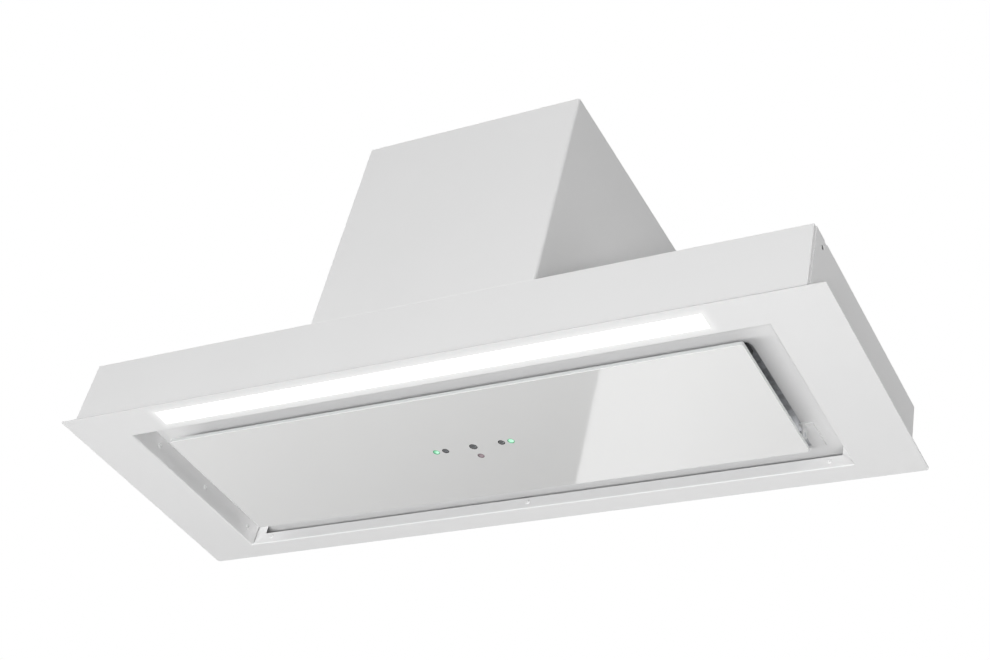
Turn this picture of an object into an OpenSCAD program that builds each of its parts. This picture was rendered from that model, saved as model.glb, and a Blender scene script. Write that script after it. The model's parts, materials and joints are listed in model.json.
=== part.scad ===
// Built-in range hood with perimeter suction, in millimetres.
// X runs to the right, Y from the front edge to the rear edge, and Z up.
// The origin is the centre of the face panel's underside.

/* [Face panel] */
// Width of the face panel
face_w = 860; // [830:1:900]
// Depth of the face panel, from its front edge to its rear edge
face_d = 282; // [278:1:300]
// Thickness of the face panel's steel
face_t = 1.5; // [1.2:0.1:2]
// Corner radius at the front of the face panel
face_front_r = 1.5; // [1:0.5:4]
// Corner radius at the rear of the face panel
face_rear_r = 3; // [1:0.5:6]

/* [Recess] */
// Width of the face panel beside the recess
recess_side = 67; // [64:1:74]
// Depth of the face panel in front of the recess
recess_front = 40; // [40:1:44]
// Depth of the face panel behind the recess
recess_rear = 24; // [22:1:28]
// Height of the recess, up to the underside of the suction tray
recess_h = 25; // [24:0.5:30]
// Height of the lips at the front and rear of the recess
lip_h = 13.5; // [10:0.5:15]

/* [Suction mouth] */
// Distance that the glass panel reaches past the mouth's side
mouth_lap = 6; // [5:1:12]
// Distance from the recess's front to the mouth
mouth_front = 44; // [42:1:50]
// Distance from the recess's rear to the mouth
mouth_rear = 4; // [3:0.5:8]
// Corner radius of the mouth
mouth_r = 10; // [6:1:12]
// Thickness of the suction tray's steel
tray_t = 1; // [0.8:0.1:1.5]

/* [Glass panel] */
// Suction gap at the sides of the glass panel
gap_side = 34; // [32:1:38]
// Suction gap in front of the glass panel
gap_front = 20; // [18:1:24]
// Suction gap behind the glass panel
gap_rear = 30; // [27:1:33]
// Thickness of the glass
glass_t = 4; // [3:0.5:5]
// Corner radius of the glass
glass_r = 2; // [1:0.5:4]

/* [Light] */
// Length of the light strip
light_w = 620; // [560:1:680]
// Width of the light strip
light_d = 19.5; // [16:0.5:22]
// Distance from the face panel's front edge to the middle of the light strip
light_inset = 21; // [20:0.5:22]
// Spacing of the light sources
led_pitch = 31; // [20:1:60]

/* [Body] */
// Width of the face panel that shows beside the body
body_side = 17; // [14:1:20]
// Depth of the face panel that shows in front of the body
body_front = 2; // [1:0.5:3]
// Depth of the face panel that shows behind the body
body_rear = 5; // [3:0.5:8]
// Height of the body's top above the face panel's underside
body_top = 74; // [72:1:80]
// Thickness of the body's steel
sheet_t = 1; // [0.8:0.1:1.2]
// Outer radius of the body's bent edges
bend_r = 3; // [2:0.5:5]

/* [Motor tower] */
// Width of the motor tower
tower_w = 262; // [250:1:290]
// Depth of the motor tower
tower_d = 262; // [255:1:266]
// Height of the motor tower's top above the face panel's underside
tower_top = 322; // [318:1:360]

/* [Outlet] */
// Outer radius of the duct collar
collar_r = 75; // [70:0.5:77]
// Height of the duct collar above the motor tower
collar_h = 28; // [26:1:40]
// Thickness of the duct collar's wall
collar_wall = 2.5; // [2:0.1:3]

/* [Blower] */
// Outer radius of the blower wheel
wheel_r = 80; // [76:1:82]
// Length of the blower wheel
wheel_w = 108; // [100:1:120]
// Number of blades on the blower wheel
blade_count = 36; // [24:1:44]
// Least gap between the blower wheel and the scroll
scroll_gap = 12; // [10:0.5:13]
// Growth of the scroll's radius round the wheel
scroll_growth = 30; // [26:1:32]
// Inner width of the scroll
scroll_w = 150; // [140:1:160]
// Thickness of the scroll's moulding
scroll_wall = 2.5; // [2:0.1:3]
// Radius of the motor's laminated stator
stator_r = 40; // [36:1:44]
// Radius of the motor shaft
shaft_r = 4; // [3:0.5:5]

/* [Grease filters] */
// Thickness of a filter cassette
filter_t = 9; // [8:0.5:10]
// Spacing of the holes in the filter mesh
mesh_pitch = 13; // [11:1:20]

/* [Hidden] */
$fn = 48;

// Overrun of every cut past the solid that it opens
overrun = 1;
// Gap between a loose piece and its seat
seat_gap = 0.3;
// Radial clearance of a pin or shaft in its bore
pin_gap = 0.06;

// Limits of the face panel, the recess, the mouth and the body
face_x = face_w / 2;
face_y = [-face_d / 2, face_d / 2];
rec_x = face_x - recess_side;
rec_y = [face_y[0] + recess_front, face_y[1] - recess_rear];
glass_x = rec_x - gap_side;
mouth_x = glass_x - mouth_lap;
mouth_y = [rec_y[0] + mouth_front, rec_y[1] - mouth_rear];
body_x = face_x - body_side;
body_y = [face_y[0] + body_front, face_y[1] - body_rear];
inner_x = body_x - sheet_t;
inner_y = [body_y[0] + sheet_t, body_y[1] - sheet_t];
tray_z = [recess_h, recess_h + tray_t];
skirt_x = rec_x + face_t + tray_t;

// Glass panel and the frame behind it
glass_y = [rec_y[0] + gap_front, rec_y[1] - gap_rear];
frame_side = 5.5;
frame_front = 11;
frame_rear = 9;
frame_t = 1;
frame_rim_h = 5;
frame_x = glass_x - frame_side;
frame_y = [glass_y[0] + frame_front, glass_y[1] - frame_rear];
frame_top = glass_t + frame_t;
bead_w = 10;
bead_h = 3;
bead_share = 0.62;

// Panel hinge: axis along X behind the frame, eye, web and foot
hinge_inset = 9;
hinge_up = 14;
eye_r = 4.5;
hinge_pin_r = 2.5;
web_t = 2.5;
web_inset = 3.5;
foot_t = 1.5;
foot_w = 14;
foot_d = 38;
hinge_y = glass_y[1] - hinge_inset;
hinge_z = hinge_up;
web_x = glass_x - web_inset;
arm_gap = 0.5;
arm_run = 18;
arm_end_y = frame_y[1] - frame_t - arm_gap;
arm_x = [frame_x - frame_t - arm_gap - web_t, frame_x - frame_t - arm_gap];

// Ledge frame that carries the filters above the mouth
ledge_t = 1.2;
ledge_side = 20;
ledge_end = 10;
ledge_lap = 10;
divider_w = 14;
ledge_x = mouth_x - ledge_side;
ledge_y = [mouth_y[0] + ledge_end, mouth_y[1] - ledge_end];
ledge_z = [tray_z[1], tray_z[1] + ledge_t];

// Filter cassette: the right one, mirrored for the left
filter_gap = 1;
filter_x = [divider_w / 2 + filter_gap, ledge_x - filter_gap];
filter_y = [ledge_y[0] + filter_gap, ledge_y[1] - filter_gap];
filter_drop = 4.7;
filter_z = [ledge_z[1] - filter_drop, ledge_z[1] - filter_drop + filter_t];
filter_mid = (filter_x[0] + filter_x[1]) / 2;
rim_w = 14;
rim_front_w = 24;
core_x = [filter_x[0] + rim_w, filter_x[1] - rim_w];
core_y = [filter_y[0] + rim_front_w, filter_y[1] - rim_w];
mesh_skin = 1;
mesh_hole_share = 0.36;
mesh_rows_share = 0.55;
tab_w = 30;
tab_t = 1.2;
tab_reach = 8;
tab_share = 0.3;

// Filter latch: a sprung slider with a tongue and a finger grip
latch_w = 40;
latch_d = 8.5;
latch_t = 2;
latch_wall = 3;
tongue_w = 20;
tongue_reach = 7;
grip_w = 24;
grip_d = 5;
grip_drop = 3;
latch_y = [filter_y[0] + latch_wall + seat_gap, filter_y[0] + latch_wall + seat_gap + latch_d];
latch_lift = 0.1;
latch_z = [ledge_z[1] + latch_lift, ledge_z[1] + latch_lift + latch_t];

// Magnetic catches at the mouth's front corners
catch_w = 17;
catch_d = 13;
catch_inset_share = 0.3;
catch_inset = catch_inset_share * mouth_r;
catch_low = 13.3;
magnet_w = 9;
magnet_d = 7;
magnet_h = 4;
catch_x = [mouth_x - catch_inset - catch_w, mouth_x - catch_inset];
catch_y = [mouth_y[0] + catch_inset, mouth_y[0] + catch_inset + catch_d];
catch_mid = [(catch_x[0] + catch_x[1]) / 2, (catch_y[0] + catch_y[1]) / 2];
striker_w = 12;
striker_d = 9;

// Sensors: places as [x, y] from the middle of the glass, and window radii
sensor_y = 0;
status_x = 44;
sensor_x = 33;
remote_dy = 16;
window_r = 3;
window_big_r = 3.6;
window_gap = 0.2;
housing_x = 60;
housing_y = [-15, 32];
housing_wall = 1.5;
housing_h = 12;
sensor_board_t = 1.6;
sensor_board_up = 4;
chip_w = 12;
chip_h = 2;
glass_mid = (glass_y[0] + glass_y[1]) / 2;

// Light strip
light_y = face_y[0] + light_inset;
diffuser_gap = 0.3;
diffuser_t = 2;
channel_wall = 1.5;
channel_h = 17;
channel_lap = 3;
led_w = 3;
led_h = 1;
led_board_t = 1.6;
led_board_w = 12;
channel_y = [light_y - light_d / 2 - channel_lap, light_y + light_d / 2 + channel_lap];
channel_x = light_w / 2 + channel_lap;
channel_top = face_t + channel_h;
led_count = floor((light_w - led_pitch / 2) / led_pitch);

// Body sheets
seam_gap = 0.8;
return_d = 14;
lid_skirt = 10;
side_hole_r = 2.5;
side_hole_inset = 21;
side_hole_drop = 10.5;
notch_w = 6;
notch_h = 1.5;
rear_lip = 9;
deck_z = [body_top - sheet_t, body_top];

// Plenum walls and what stands beside them
wall_x = skirt_x - tray_t;
wall_z = [tray_z[1], deck_z[0]];
wall_fold = 8;

// Motor tower
tower_x = tower_w / 2;
tower_y = [body_y[0], body_y[0] + tower_d];
tower_fold = 12;
tower_in_x = tower_x - sheet_t;
tower_in_y = [tower_y[0] + sheet_t, tower_y[1] - sheet_t];
cap_skirt = 12;

// Outlet collar, adapter and the two flaps
collar_flange = 8;
collar_flange_t = 2.5;
collar_edge = 2;
collar_y = tower_in_y[1] - collar_edge - collar_r - collar_flange;
collar_in_r = collar_r - collar_wall;
pin_end = collar_in_r + collar_wall / 2;
stop_w = 3;
stop_t = 1.5;
stop_up = 9;
flap_t = 1.5;
flap_gap = 1;
flap_pin_r = 2;
knuckle_r = 3.6;
knuckle_share = 0.16;
knuckle_place_shares = [-0.72, 0.24];
knuckle_gap = 0.5;
flap_z = tower_top + stop_up + stop_t;
pin_z = flap_z + knuckle_r;
adapter_h = 22;
adapter_wall = 2.5;
adapter_flange = 8;
adapter_flange_t = 3;

// Scroll: a spiral that grows from the tongue round to the outlet
tongue_angle = 75;
spiral_turn = 360 - tongue_angle;
spiral_steps = 38;
split_flange = 4;
split_flange_t = 2;
front_gap = 7;
outlet_run = 10;
outlet_flange_t = 2.5;
bell_r = 5.5;
scroll_start_r = wheel_r + scroll_gap;
scroll_end_r = scroll_start_r + scroll_growth;
function spiral_r(turn) = scroll_start_r + scroll_growth * turn / spiral_turn;
tongue_y = scroll_start_r * cos(tongue_angle);
axis_y = tower_in_y[0] + front_gap + scroll_wall + spiral_r(180 - tongue_angle);
outlet_z = tower_top - sheet_t - adapter_h;
outlet_rise = scroll_end_r + outlet_run;
axis_z = outlet_z - outlet_rise;
scroll_x = scroll_w / 2;
scroll_out_x = scroll_x + scroll_wall;
outlet_y = [axis_y + tongue_y, axis_y + scroll_end_r];

// Blower wheel
blade_t = 1;
blade_depth = 15;
blade_bow_r = 11;
blade_half_angle = 42;
blade_steps = 3;
disc_t = 2;
ring_w = 4;
hub_r = 12;
hub_x = [-8, 12];
inlet_r = wheel_r - blade_depth + 3 * blade_t;

// Motor, on the right of the wheel's disc
motor_start = 14;
cap_t = 2.5;
cap_lap = 4;
cap_wall = 2.5;
winding_l = 12;
stator_l = 36;
stator_bore_r = 26;
air_gap = 0.5;
bearing_r = 8;
bearing_l = 8;
bearing_boss = 4;
nut_r = 7;
nut_l = 6;
motor_gap = 4;
cap_r = stator_r + cap_wall;
stator_x = [motor_start + cap_t + motor_gap + winding_l, motor_start + cap_t + motor_gap + winding_l + stator_l];
motor_end = stator_x[1] + winding_l + motor_gap + cap_t;
bracket_t = 3;
bracket_hub_r = 24;
bracket_arm_w = 14;
arm_angles = [90, 210, 330];
boss_r = 8;
boss_h = 3;
bush_r = 7;
boss_pitch_r = inlet_r + bell_r + boss_r + 2 * blade_t;

// Control gear beside the plenum
box_side_gap = 5;
box_front_gap = 39;
box_rear_gap = 52;
box_x = [wall_x + tray_t, inner_x - box_side_gap];
box_y = [body_y[0] + box_front_gap, body_y[1] - box_rear_gap];
box_z = [20, 66];
box_wall = 1.5;
board_t = 1.6;
board_stand = 9;
board_margin = 4;
driver_y = [-90, 40];
driver_z = [32, 56];
driver_w = 36;
cap_can_r = 16;
cap_can_h = 54;
cap_stud_r = 4;
cap_stud_h = 9;
cap_place_y = 84;
gland_inset = 30;
gland_y = body_y[1] - gland_inset;
gland_r = 8;
gland_bore_r = 4.5;
gland_nut_r = 12;
gland_nut_h = 6;
gland_up = 18;
gland_down = 8;
side_mid = (wall_x + inner_x) / 2;
loom_r = 4;
loom_margin = 2;
loom_z = box_z[1] - box_wall - loom_margin - loom_r;
loom_out = 12;
loom_rise = 10;
loom_back = 28;

// Rivets and screws
rivet_r = 1.6;
rivet_head_r = 2.8;
rivet_head_h = 1;
rivet_side_shares = [0.18, 0.555, 0.925];
rivet_rear_shares = [-0.93, 0, 0.93];
rivet_side_z = 14.5;
rivet_rear_z = 8;
screw_r = 1.9;
screw_head_r = 3.6;
screw_head_h = 2;
screw_l = 5;
collar_screws = 4;

steel_white = [0.9, 0.9, 0.9];
zinc = [0.72, 0.73, 0.74];
dark = [0.15, 0.15, 0.16];
moulding = [0.25, 0.26, 0.28];

// A box between two limits on each axis
module block(x, y, z) {
    translate([x[0], y[0], z[0]])
        cube([x[1] - x[0], y[1] - y[0], z[1] - z[0]]);
}

// A box with upright rounded corners, r = [front radius, rear radius]
module rounded_block(x, y, z, r) {
    difference() {
        block(x, y, z);
        for (side = [0, 1], end = [0, 1]) if (r[end] > 0) {
            edge_x = side == 0 ? x[0] : x[1];
            edge_y = end == 0 ? y[0] : y[1];
            in_x = side == 0 ? 1 : -1;
            in_y = end == 0 ? 1 : -1;
            corner_trim(edge_x, edge_y, in_x, in_y, z, r[end]);
        }
    }
}

// What a rounded corner takes off a square one
module corner_trim(x, y, in_x, in_y, z, r) {
    low = [in_x > 0 ? x - overrun : x - r, in_y > 0 ? y - overrun : y - r];
    high = [in_x > 0 ? x + r : x + overrun, in_y > 0 ? y + r : y + overrun];
    difference() {
        block([low[0], high[0]], [low[1], high[1]], [z[0] - overrun, z[1] + overrun]);
        rod_z(x + in_x * r, y + in_y * r, [z[0] - 2 * overrun, z[1] + 2 * overrun], r);
    }
}

// Round bars along each axis between two limits
module rod_x(x, y, z, r) {
    translate([x[0], y, z])
        rotate([0, 90, 0])
            cylinder(h = x[1] - x[0], r = r);
}

module rod_y(x, y, z, r) {
    translate([x, y[1], z])
        rotate([90, 0, 0])
            cylinder(h = y[1] - y[0], r = r);
}

module rod_z(x, y, z, r) {
    translate([x, y, z[0]])
        cylinder(h = z[1] - z[0], r = r);
}

// A tube along the blower's axis, r = [inner, outer]
module axis_tube(x, r) {
    difference() {
        rod_x(x, axis_y, axis_z, r[1]);
        rod_x([x[0] - overrun, x[1] + overrun], axis_y, axis_z, r[0]);
    }
}

// Extrusions of an outline in the YZ or the XZ plane
module along_x(x) {
    translate([x[0], 0, 0])
        rotate([90, 0, 90])
            linear_extrude(x[1] - x[0])
                children();
}

module along_y(y) {
    translate([0, y[1], 0])
        rotate([90, 0, 0])
            linear_extrude(y[1] - y[0])
                children();
}

module both_sides() {
    children();
    mirror([1, 0, 0])
        children();
}

// Face panel: one sheet with the slot for the light and the recess, whose edges turn up
module face_panel() {
    color(steel_white) {
        difference() {
            rounded_block([-face_x, face_x], face_y, [0, face_t], [face_front_r, face_rear_r]);
            block([-rec_x, rec_x], rec_y, [-overrun, face_t + overrun]);
            block([-light_w / 2, light_w / 2], [light_y - light_d / 2, light_y + light_d / 2],
                [-overrun, face_t + overrun]);
        }
        difference() {
            both_sides()
                block([rec_x, rec_x + face_t], rec_y, [face_t, recess_h]);
            side_rivet_holes();
        }
        difference() {
            for (y = [rec_y[0] - face_t, rec_y[1]])
                along_y([y, y + face_t])
                    lip_outline();
            rear_rivet_holes();
        }
    }
}

// A lip with ends cut at 45 degrees
module lip_outline() {
    polygon([[-rec_x, face_t], [rec_x, face_t], [rec_x - lip_h + face_t, lip_h], [-rec_x + lip_h - face_t, lip_h]]);
}

module side_rivet_holes() {
    for (share = rivet_side_shares)
        rod_x([-skirt_x - overrun, skirt_x + overrun], rivet_side_y(share), rivet_side_z, rivet_r);
}

module rear_rivet_holes() {
    for (share = rivet_rear_shares)
        rod_y(share * rec_x, [rec_y[1] - overrun, rec_y[1] + face_t + sheet_t + overrun], rivet_rear_z, rivet_r);
}

// Suction tray: the recess's ceiling, with the mouth in it and its sides and rear corners turned down
module suction_tray() {
    color(steel_white) {
        difference() {
            block([-skirt_x, skirt_x], inner_y, tray_z);
            rounded_block([-mouth_x, mouth_x], mouth_y, [tray_z[0] - overrun, tray_z[1] + overrun],
                [mouth_r, mouth_r]);
        }
        difference() {
            both_sides()
                block([rec_x + face_t, skirt_x], rec_y, [lip_h / 2, tray_z[0]]);
            side_rivet_holes();
        }
        both_sides()
            block([rec_x - lip_h, rec_x - seam_gap], [rec_y[1] + face_t, rec_y[1] + face_t + tray_t],
                [face_t, tray_z[0]]);
    }
}

// Ledge frame: a flat frame on the tray that the filters hang in, with a bar between them
module ledge_frame() {
    color(zinc)
        difference() {
            block([-mouth_x - ledge_lap, mouth_x + ledge_lap], [mouth_y[0] - ledge_lap, mouth_y[1] + ledge_lap],
                ledge_z);
            both_sides()
                block([divider_w / 2, ledge_x], ledge_y, [ledge_z[0] - overrun, ledge_z[1] + overrun]);
        }
}

// Angle behind the recess's rear lip
module recess_stiffener() {
    reach = rec_x - lip_h - 2 * seam_gap;
    y = rec_y[1] + face_t;
    color(zinc) {
        difference() {
            block([-reach, reach], [y, y + sheet_t], [face_t, lip_h - sheet_t]);
            rear_rivet_holes();
        }
        block([-reach, reach], [y + sheet_t, inner_y[1] - rear_lip], [face_t, face_t + sheet_t]);
    }
}

// Place in depth of a rivet in the recess's sides
function rivet_side_y(share) = rec_y[0] + share * (rec_y[1] - rec_y[0]);

// Rivets through the recess's sides and its rear lip
module panel_rivets() {
    color(zinc) {
        for (share = rivet_side_shares)
            both_sides()
                rivet_x(rec_x, rivet_side_y(share), rivet_side_z, face_t + tray_t);
        for (share = rivet_rear_shares)
            rivet_y(share * rec_x, rec_y[1], rivet_rear_z, face_t + sheet_t);
    }
}

module rivet_x(x, y, z, grip) {
    rod_x([x, x + grip], y, z, rivet_r);
    translate([x, y, z])
        rotate([0, -90, 0])
            cylinder(h = rivet_head_h, r1 = rivet_head_r, r2 = rivet_r);
}

module rivet_y(x, y, z, grip) {
    rod_y(x, [y, y + grip], z, rivet_r);
    translate([x, y, z])
        rotate([90, 0, 0])
            cylinder(h = rivet_head_h, r1 = rivet_head_r, r2 = rivet_r);
}

// Body front: its bent ends run back inside the side sheets
module body_front_sheet() {
    z = [face_t, deck_z[1]];
    color(steel_white)
        difference() {
            rounded_block([-inner_x, inner_x], [body_y[0], body_y[0] + bend_r + return_d], z, [bend_r, 0]);
            rounded_block([-inner_x + sheet_t, inner_x - sheet_t],
                [body_y[0] + sheet_t, body_y[0] + bend_r + return_d + overrun],
                [z[0] - overrun, z[1] + overrun], [bend_r - sheet_t, 0]);
        }
}

// Body side, on the right: it starts behind the front sheet's bend and has the fixing hole
module side_sheet() {
    y0 = body_y[0] + bend_r + seam_gap;
    hole_y = body_y[0] + side_hole_inset;
    difference() {
        union() {
            block([inner_x, body_x], [y0, body_y[1]], [face_t, body_top]);
            block([inner_x - rear_lip, inner_x], [body_y[0] + bend_r + return_d + seam_gap, inner_y[1] - rear_lip],
                [face_t, face_t + sheet_t]);
        }
        rod_x([inner_x - overrun, body_x + overrun], hole_y, body_top - side_hole_drop, side_hole_r);
        block([inner_x - overrun, body_x + overrun], [hole_y + side_hole_r, hole_y + side_hole_r + notch_w],
            [body_top - notch_h, body_top + overrun]);
    }
}

module body_right_sheet() {
    color(steel_white)
        side_sheet();
}

module body_left_sheet() {
    color(steel_white)
        mirror([1, 0, 0])
            side_sheet();
}

// Body rear, with its foot turned in
module body_rear_sheet() {
    color(steel_white) {
        block([-inner_x, inner_x], [inner_y[1], body_y[1]], [face_t, body_top]);
        block([-inner_x, inner_x], [inner_y[1] - rear_lip + sheet_t, inner_y[1]], [face_t, face_t + sheet_t]);
    }
}

// Body top: a sheet with the tower's opening, whose rear edge turns down
module body_top_sheet() {
    front = body_y[0] + sheet_t;
    inset = 2 * sheet_t;
    color(steel_white)
        difference() {
            union() {
                rounded_block([-inner_x + sheet_t, inner_x - sheet_t], [front, inner_y[1]], deck_z,
                    [bend_r - sheet_t, 0]);
                block([-inner_x + inset, inner_x - inset], [inner_y[1] - sheet_t, inner_y[1]],
                    [deck_z[0] - lid_skirt, deck_z[0]]);
            }
            block([-tower_in_x, tower_in_x], [front - overrun, tower_in_y[1]],
                [deck_z[0] - overrun, deck_z[1] + overrun]);
            rod_z(side_mid, gland_y, [deck_z[0] - overrun, deck_z[1] + overrun], gland_r);
            rod_z(-side_mid, cap_place_y, [deck_z[0] - overrun, deck_z[1] + overrun], cap_stud_r);
            for (spot = fold_screw_spots())
                rod_z(spot[0], spot[1], [deck_z[0] - overrun, deck_z[1] + overrun], screw_r);
        }
}

// Plenum wall, on the right: it shuts the air's way to the body's end
module plenum_wall(with_grommet) {
    x = [wall_x, wall_x + tray_t];
    difference() {
        union() {
            block(x, [inner_y[0] + return_d + bend_r, inner_y[1] - 2 * sheet_t], wall_z);
            block([x[0] - wall_fold, x[0]], [inner_y[0] + return_d + bend_r, inner_y[1] - 2 * sheet_t],
                [wall_z[1] - tray_t, wall_z[1]]);
        }
        if (with_grommet)
            rod_x([x[0] - overrun, x[1] + overrun], axis_y + loom_back, loom_z, loom_r);
    }
}

module plenum_wall_right() {
    color(zinc)
        plenum_wall(true);
}

module plenum_wall_left() {
    color(zinc)
        mirror([1, 0, 0])
            plenum_wall(false);
}

// Tower casing: front and sides bent from one sheet, with a fold along each foot
module tower_casing() {
    z = [body_top, tower_top];
    color(steel_white)
        difference() {
            union() {
                difference() {
                    rounded_block([-tower_x, tower_x], tower_y, z, [bend_r, 0]);
                    rounded_block([-tower_in_x, tower_in_x], [tower_in_y[0], tower_y[1] + overrun],
                        [z[0] - overrun, z[1] + overrun], [bend_r - sheet_t, 0]);
                }
                both_sides()
                    block([tower_x, tower_x + tower_fold], [tower_y[0] + tower_fold, tower_y[1]], [z[0], z[0] + sheet_t]);
            }
            for (spot = fold_screw_spots())
                rod_z(spot[0], spot[1], [z[0] - overrun, z[0] + sheet_t + overrun], screw_r);
        }
}

// Screws along the tower's folds, as [x, y]
function fold_screw_spots() = [
    for (side = [-1, 1], share = [0.2, 0.5, 0.8])
        [side * (tower_x + tower_fold / 2), tower_y[0] + share * tower_d]
];

// Screws round the collar's flange and at the tower top's corners, as [x, y]
function collar_screw_spots() = [
    for (i = [0 : collar_screws - 1])
        let (angle = (i + 0.5) * 360 / collar_screws, pitch_r = collar_r + collar_flange / 2)
            [pitch_r * cos(angle), collar_y + pitch_r * sin(angle)]
];

// Tower rear: it stands between the casing's sides
module tower_rear_cover() {
    color(steel_white) {
        block([-tower_in_x, tower_in_x], [tower_in_y[1], tower_y[1]], [body_top, tower_top - sheet_t]);
        block([-tower_in_x, tower_in_x], [tower_y[1], min(tower_y[1] + tower_fold, inner_y[1])],
            [body_top, body_top + sheet_t]);
    }
}

// Tower top: a lid inside the casing with the outlet hole
module tower_top_plate() {
    z = [tower_top - sheet_t, tower_top];
    color(steel_white)
        difference() {
            union() {
                rounded_block([-tower_in_x, tower_in_x], [tower_in_y[0], tower_y[1]], z, [bend_r - sheet_t, 0]);
                both_sides()
                    block([tower_in_x - sheet_t, tower_in_x],
                        [tower_in_y[0] + 2 * bend_r, tower_in_y[1] - sheet_t],
                        [z[0] - cap_skirt, z[0]]);
            }
            rod_z(0, collar_y, [z[0] - overrun, z[1] + overrun], collar_in_r);
            for (spot = collar_screw_spots())
                rod_z(spot[0], spot[1], [z[0] - overrun, z[1] + overrun], screw_r);
        }
}

// One screw with a low round head, pointing down
module screw(x, y, z, grip) {
    rod_z(x, y, [z - grip, z], screw_r);
    translate([x, y, z])
        cylinder(h = screw_head_h, r1 = screw_head_r, r2 = screw_head_r / 2);
}

module casing_screws() {
    color(zinc) {
        for (spot = fold_screw_spots())
            screw(spot[0], spot[1], body_top + sheet_t, screw_l);
        for (spot = collar_screw_spots())
            screw(spot[0], spot[1], tower_top + collar_flange_t, collar_flange_t + sheet_t);
        difference() {
            rod_z(-side_mid, cap_place_y, [deck_z[1], deck_z[1] + cap_stud_h / 2], 2 * cap_stud_r, $fn = 6);
            rod_z(-side_mid, cap_place_y, [deck_z[1] - overrun, deck_z[1] + cap_stud_h], cap_stud_r);
        }
    }
}

// Duct collar with a ring inside that the flaps rest on
module outlet_collar() {
    color(moulding)
        difference() {
            union() {
                rod_z(0, collar_y, [tower_top, tower_top + collar_flange_t], collar_r + collar_flange);
                rod_z(0, collar_y, [tower_top, tower_top + collar_h], collar_r);
            }
            difference() {
                rod_z(0, collar_y, [tower_top - overrun, tower_top + collar_h + overrun], collar_in_r);
                rod_z(0, collar_y, [flap_z - stop_t, flap_z], collar_r);
            }
            rod_z(0, collar_y, [flap_z - stop_t - overrun, flap_z + overrun], collar_in_r - stop_w);
            rod_x([-pin_end, pin_end], collar_y, pin_z, flap_pin_r);
            for (spot = collar_screw_spots())
                rod_z(spot[0], spot[1], [tower_top - overrun, tower_top + collar_flange_t + overrun], screw_r);
        }
}

module flap_pin() {
    color(zinc)
        rod_x([-pin_end, pin_end], collar_y, pin_z, flap_pin_r);
}

// One flap: half a disc that hangs on the pin by two knuckles
module flap(side) {
    r = collar_in_r - flap_gap;
    difference() {
        union() {
            difference() {
                intersection() {
                    rod_z(0, collar_y, [flap_z, flap_z + flap_t], r);
                    block([-r, r], side > 0 ? [collar_y + knuckle_r / 2, collar_y + r]
                        : [collar_y - r, collar_y - knuckle_r / 2], [flap_z, flap_z + flap_t]);
                }
                knuckles(-side, knuckle_gap);
            }
            knuckles(side, 0);
        }
        rod_x([-collar_r, collar_r], collar_y, pin_z, flap_pin_r + pin_gap);
    }
}

// The two knuckles of one flap, let out by a gap
module knuckles(side, gap) {
    half = knuckle_share * collar_r / 2 + gap;
    for (share = knuckle_place_shares)
        rod_x([side * share * collar_r - half, side * share * collar_r + half], collar_y, pin_z, knuckle_r + gap);
}

module flap_front() {
    color(dark)
        flap(-1);
}

module flap_rear() {
    color(dark)
        flap(1);
}

// Adapter from the scroll's square outlet to the round hole above
module outlet_adapter() {
    top = tower_top - sheet_t;
    round_r = collar_in_r - stop_w;
    color(moulding)
        difference() {
            union() {
                hull() {
                    block([-scroll_out_x, scroll_out_x], [outlet_y[0] - scroll_wall, outlet_y[1] + scroll_wall],
                        [outlet_z, outlet_z + adapter_flange_t]);
                    rod_z(0, collar_y, [top - adapter_flange_t, top], round_r + adapter_wall, $fn = 32);
                }
                block([-scroll_out_x - adapter_flange, scroll_out_x + adapter_flange],
                    [outlet_y[0] - scroll_wall - adapter_flange, outlet_y[1] + scroll_wall + adapter_flange],
                    [outlet_z, outlet_z + adapter_flange_t]);
                rod_z(0, collar_y, [top - adapter_flange_t, top], collar_r + collar_flange);
            }
            hull() {
                block([-scroll_x, scroll_x], outlet_y, [outlet_z - overrun, outlet_z + adapter_flange_t]);
                rod_z(0, collar_y, [top - adapter_flange_t, top + overrun], round_r, $fn = 32);
            }
        }
}

// Outline of the scroll in the YZ plane about the wheel's axis, let out by w and up by rise
module scroll_outline(w, rise) {
    spiral = [
        for (i = [0 : spiral_steps])
            let (turn = spiral_turn * i / spiral_steps, angle = tongue_angle + turn, r = spiral_r(turn) + w)
                [r * cos(angle), r * sin(angle)]
    ];
    translate([axis_y, axis_z]) {
        polygon(concat([[tongue_y, 0]], spiral));
        translate([tongue_y - w, 0])
            square([scroll_end_r + w - tongue_y + w, outlet_rise + rise]);
    }
}

// Right half of the scroll: wall, side with the inlet, and the flanges
module scroll_half() {
    difference() {
        union() {
            along_x([0, scroll_out_x])
                scroll_outline(scroll_wall, 0);
            along_x([0, split_flange_t])
                scroll_outline(scroll_wall + split_flange, 0);
            block([0, scroll_out_x + adapter_flange],
                [outlet_y[0] - scroll_wall - adapter_flange, outlet_y[1] + scroll_wall + adapter_flange],
                [outlet_z - outlet_flange_t, outlet_z]);
            for (angle = arm_angles)
                rod_x([scroll_out_x, scroll_out_x + boss_h], axis_y + boss_pitch_r * cos(angle),
                    axis_z + boss_pitch_r * sin(angle), boss_r);
            bell_mouth();
        }
        along_x([-overrun, scroll_x])
            scroll_outline(0, overrun);
        rod_x([0, scroll_out_x + bell_r + overrun], axis_y, axis_z, inlet_r);
    }
}

// Rounded rim that turns the air into the inlet
module bell_mouth() {
    translate([scroll_out_x, axis_y, axis_z])
        rotate([0, 90, 0])
            rotate_extrude()
                translate([inlet_r, 0])
                    difference() {
                        translate([-overrun, -overrun])
                            square([bell_r + overrun, bell_r + overrun]);
                        translate([bell_r, bell_r])
                            circle(r = bell_r - scroll_wall / 2);
                    }
}

module scroll_right() {
    color(moulding)
        scroll_half();
}

module scroll_left() {
    color(moulding)
        mirror([1, 0, 0])
            scroll_half();
}

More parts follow.
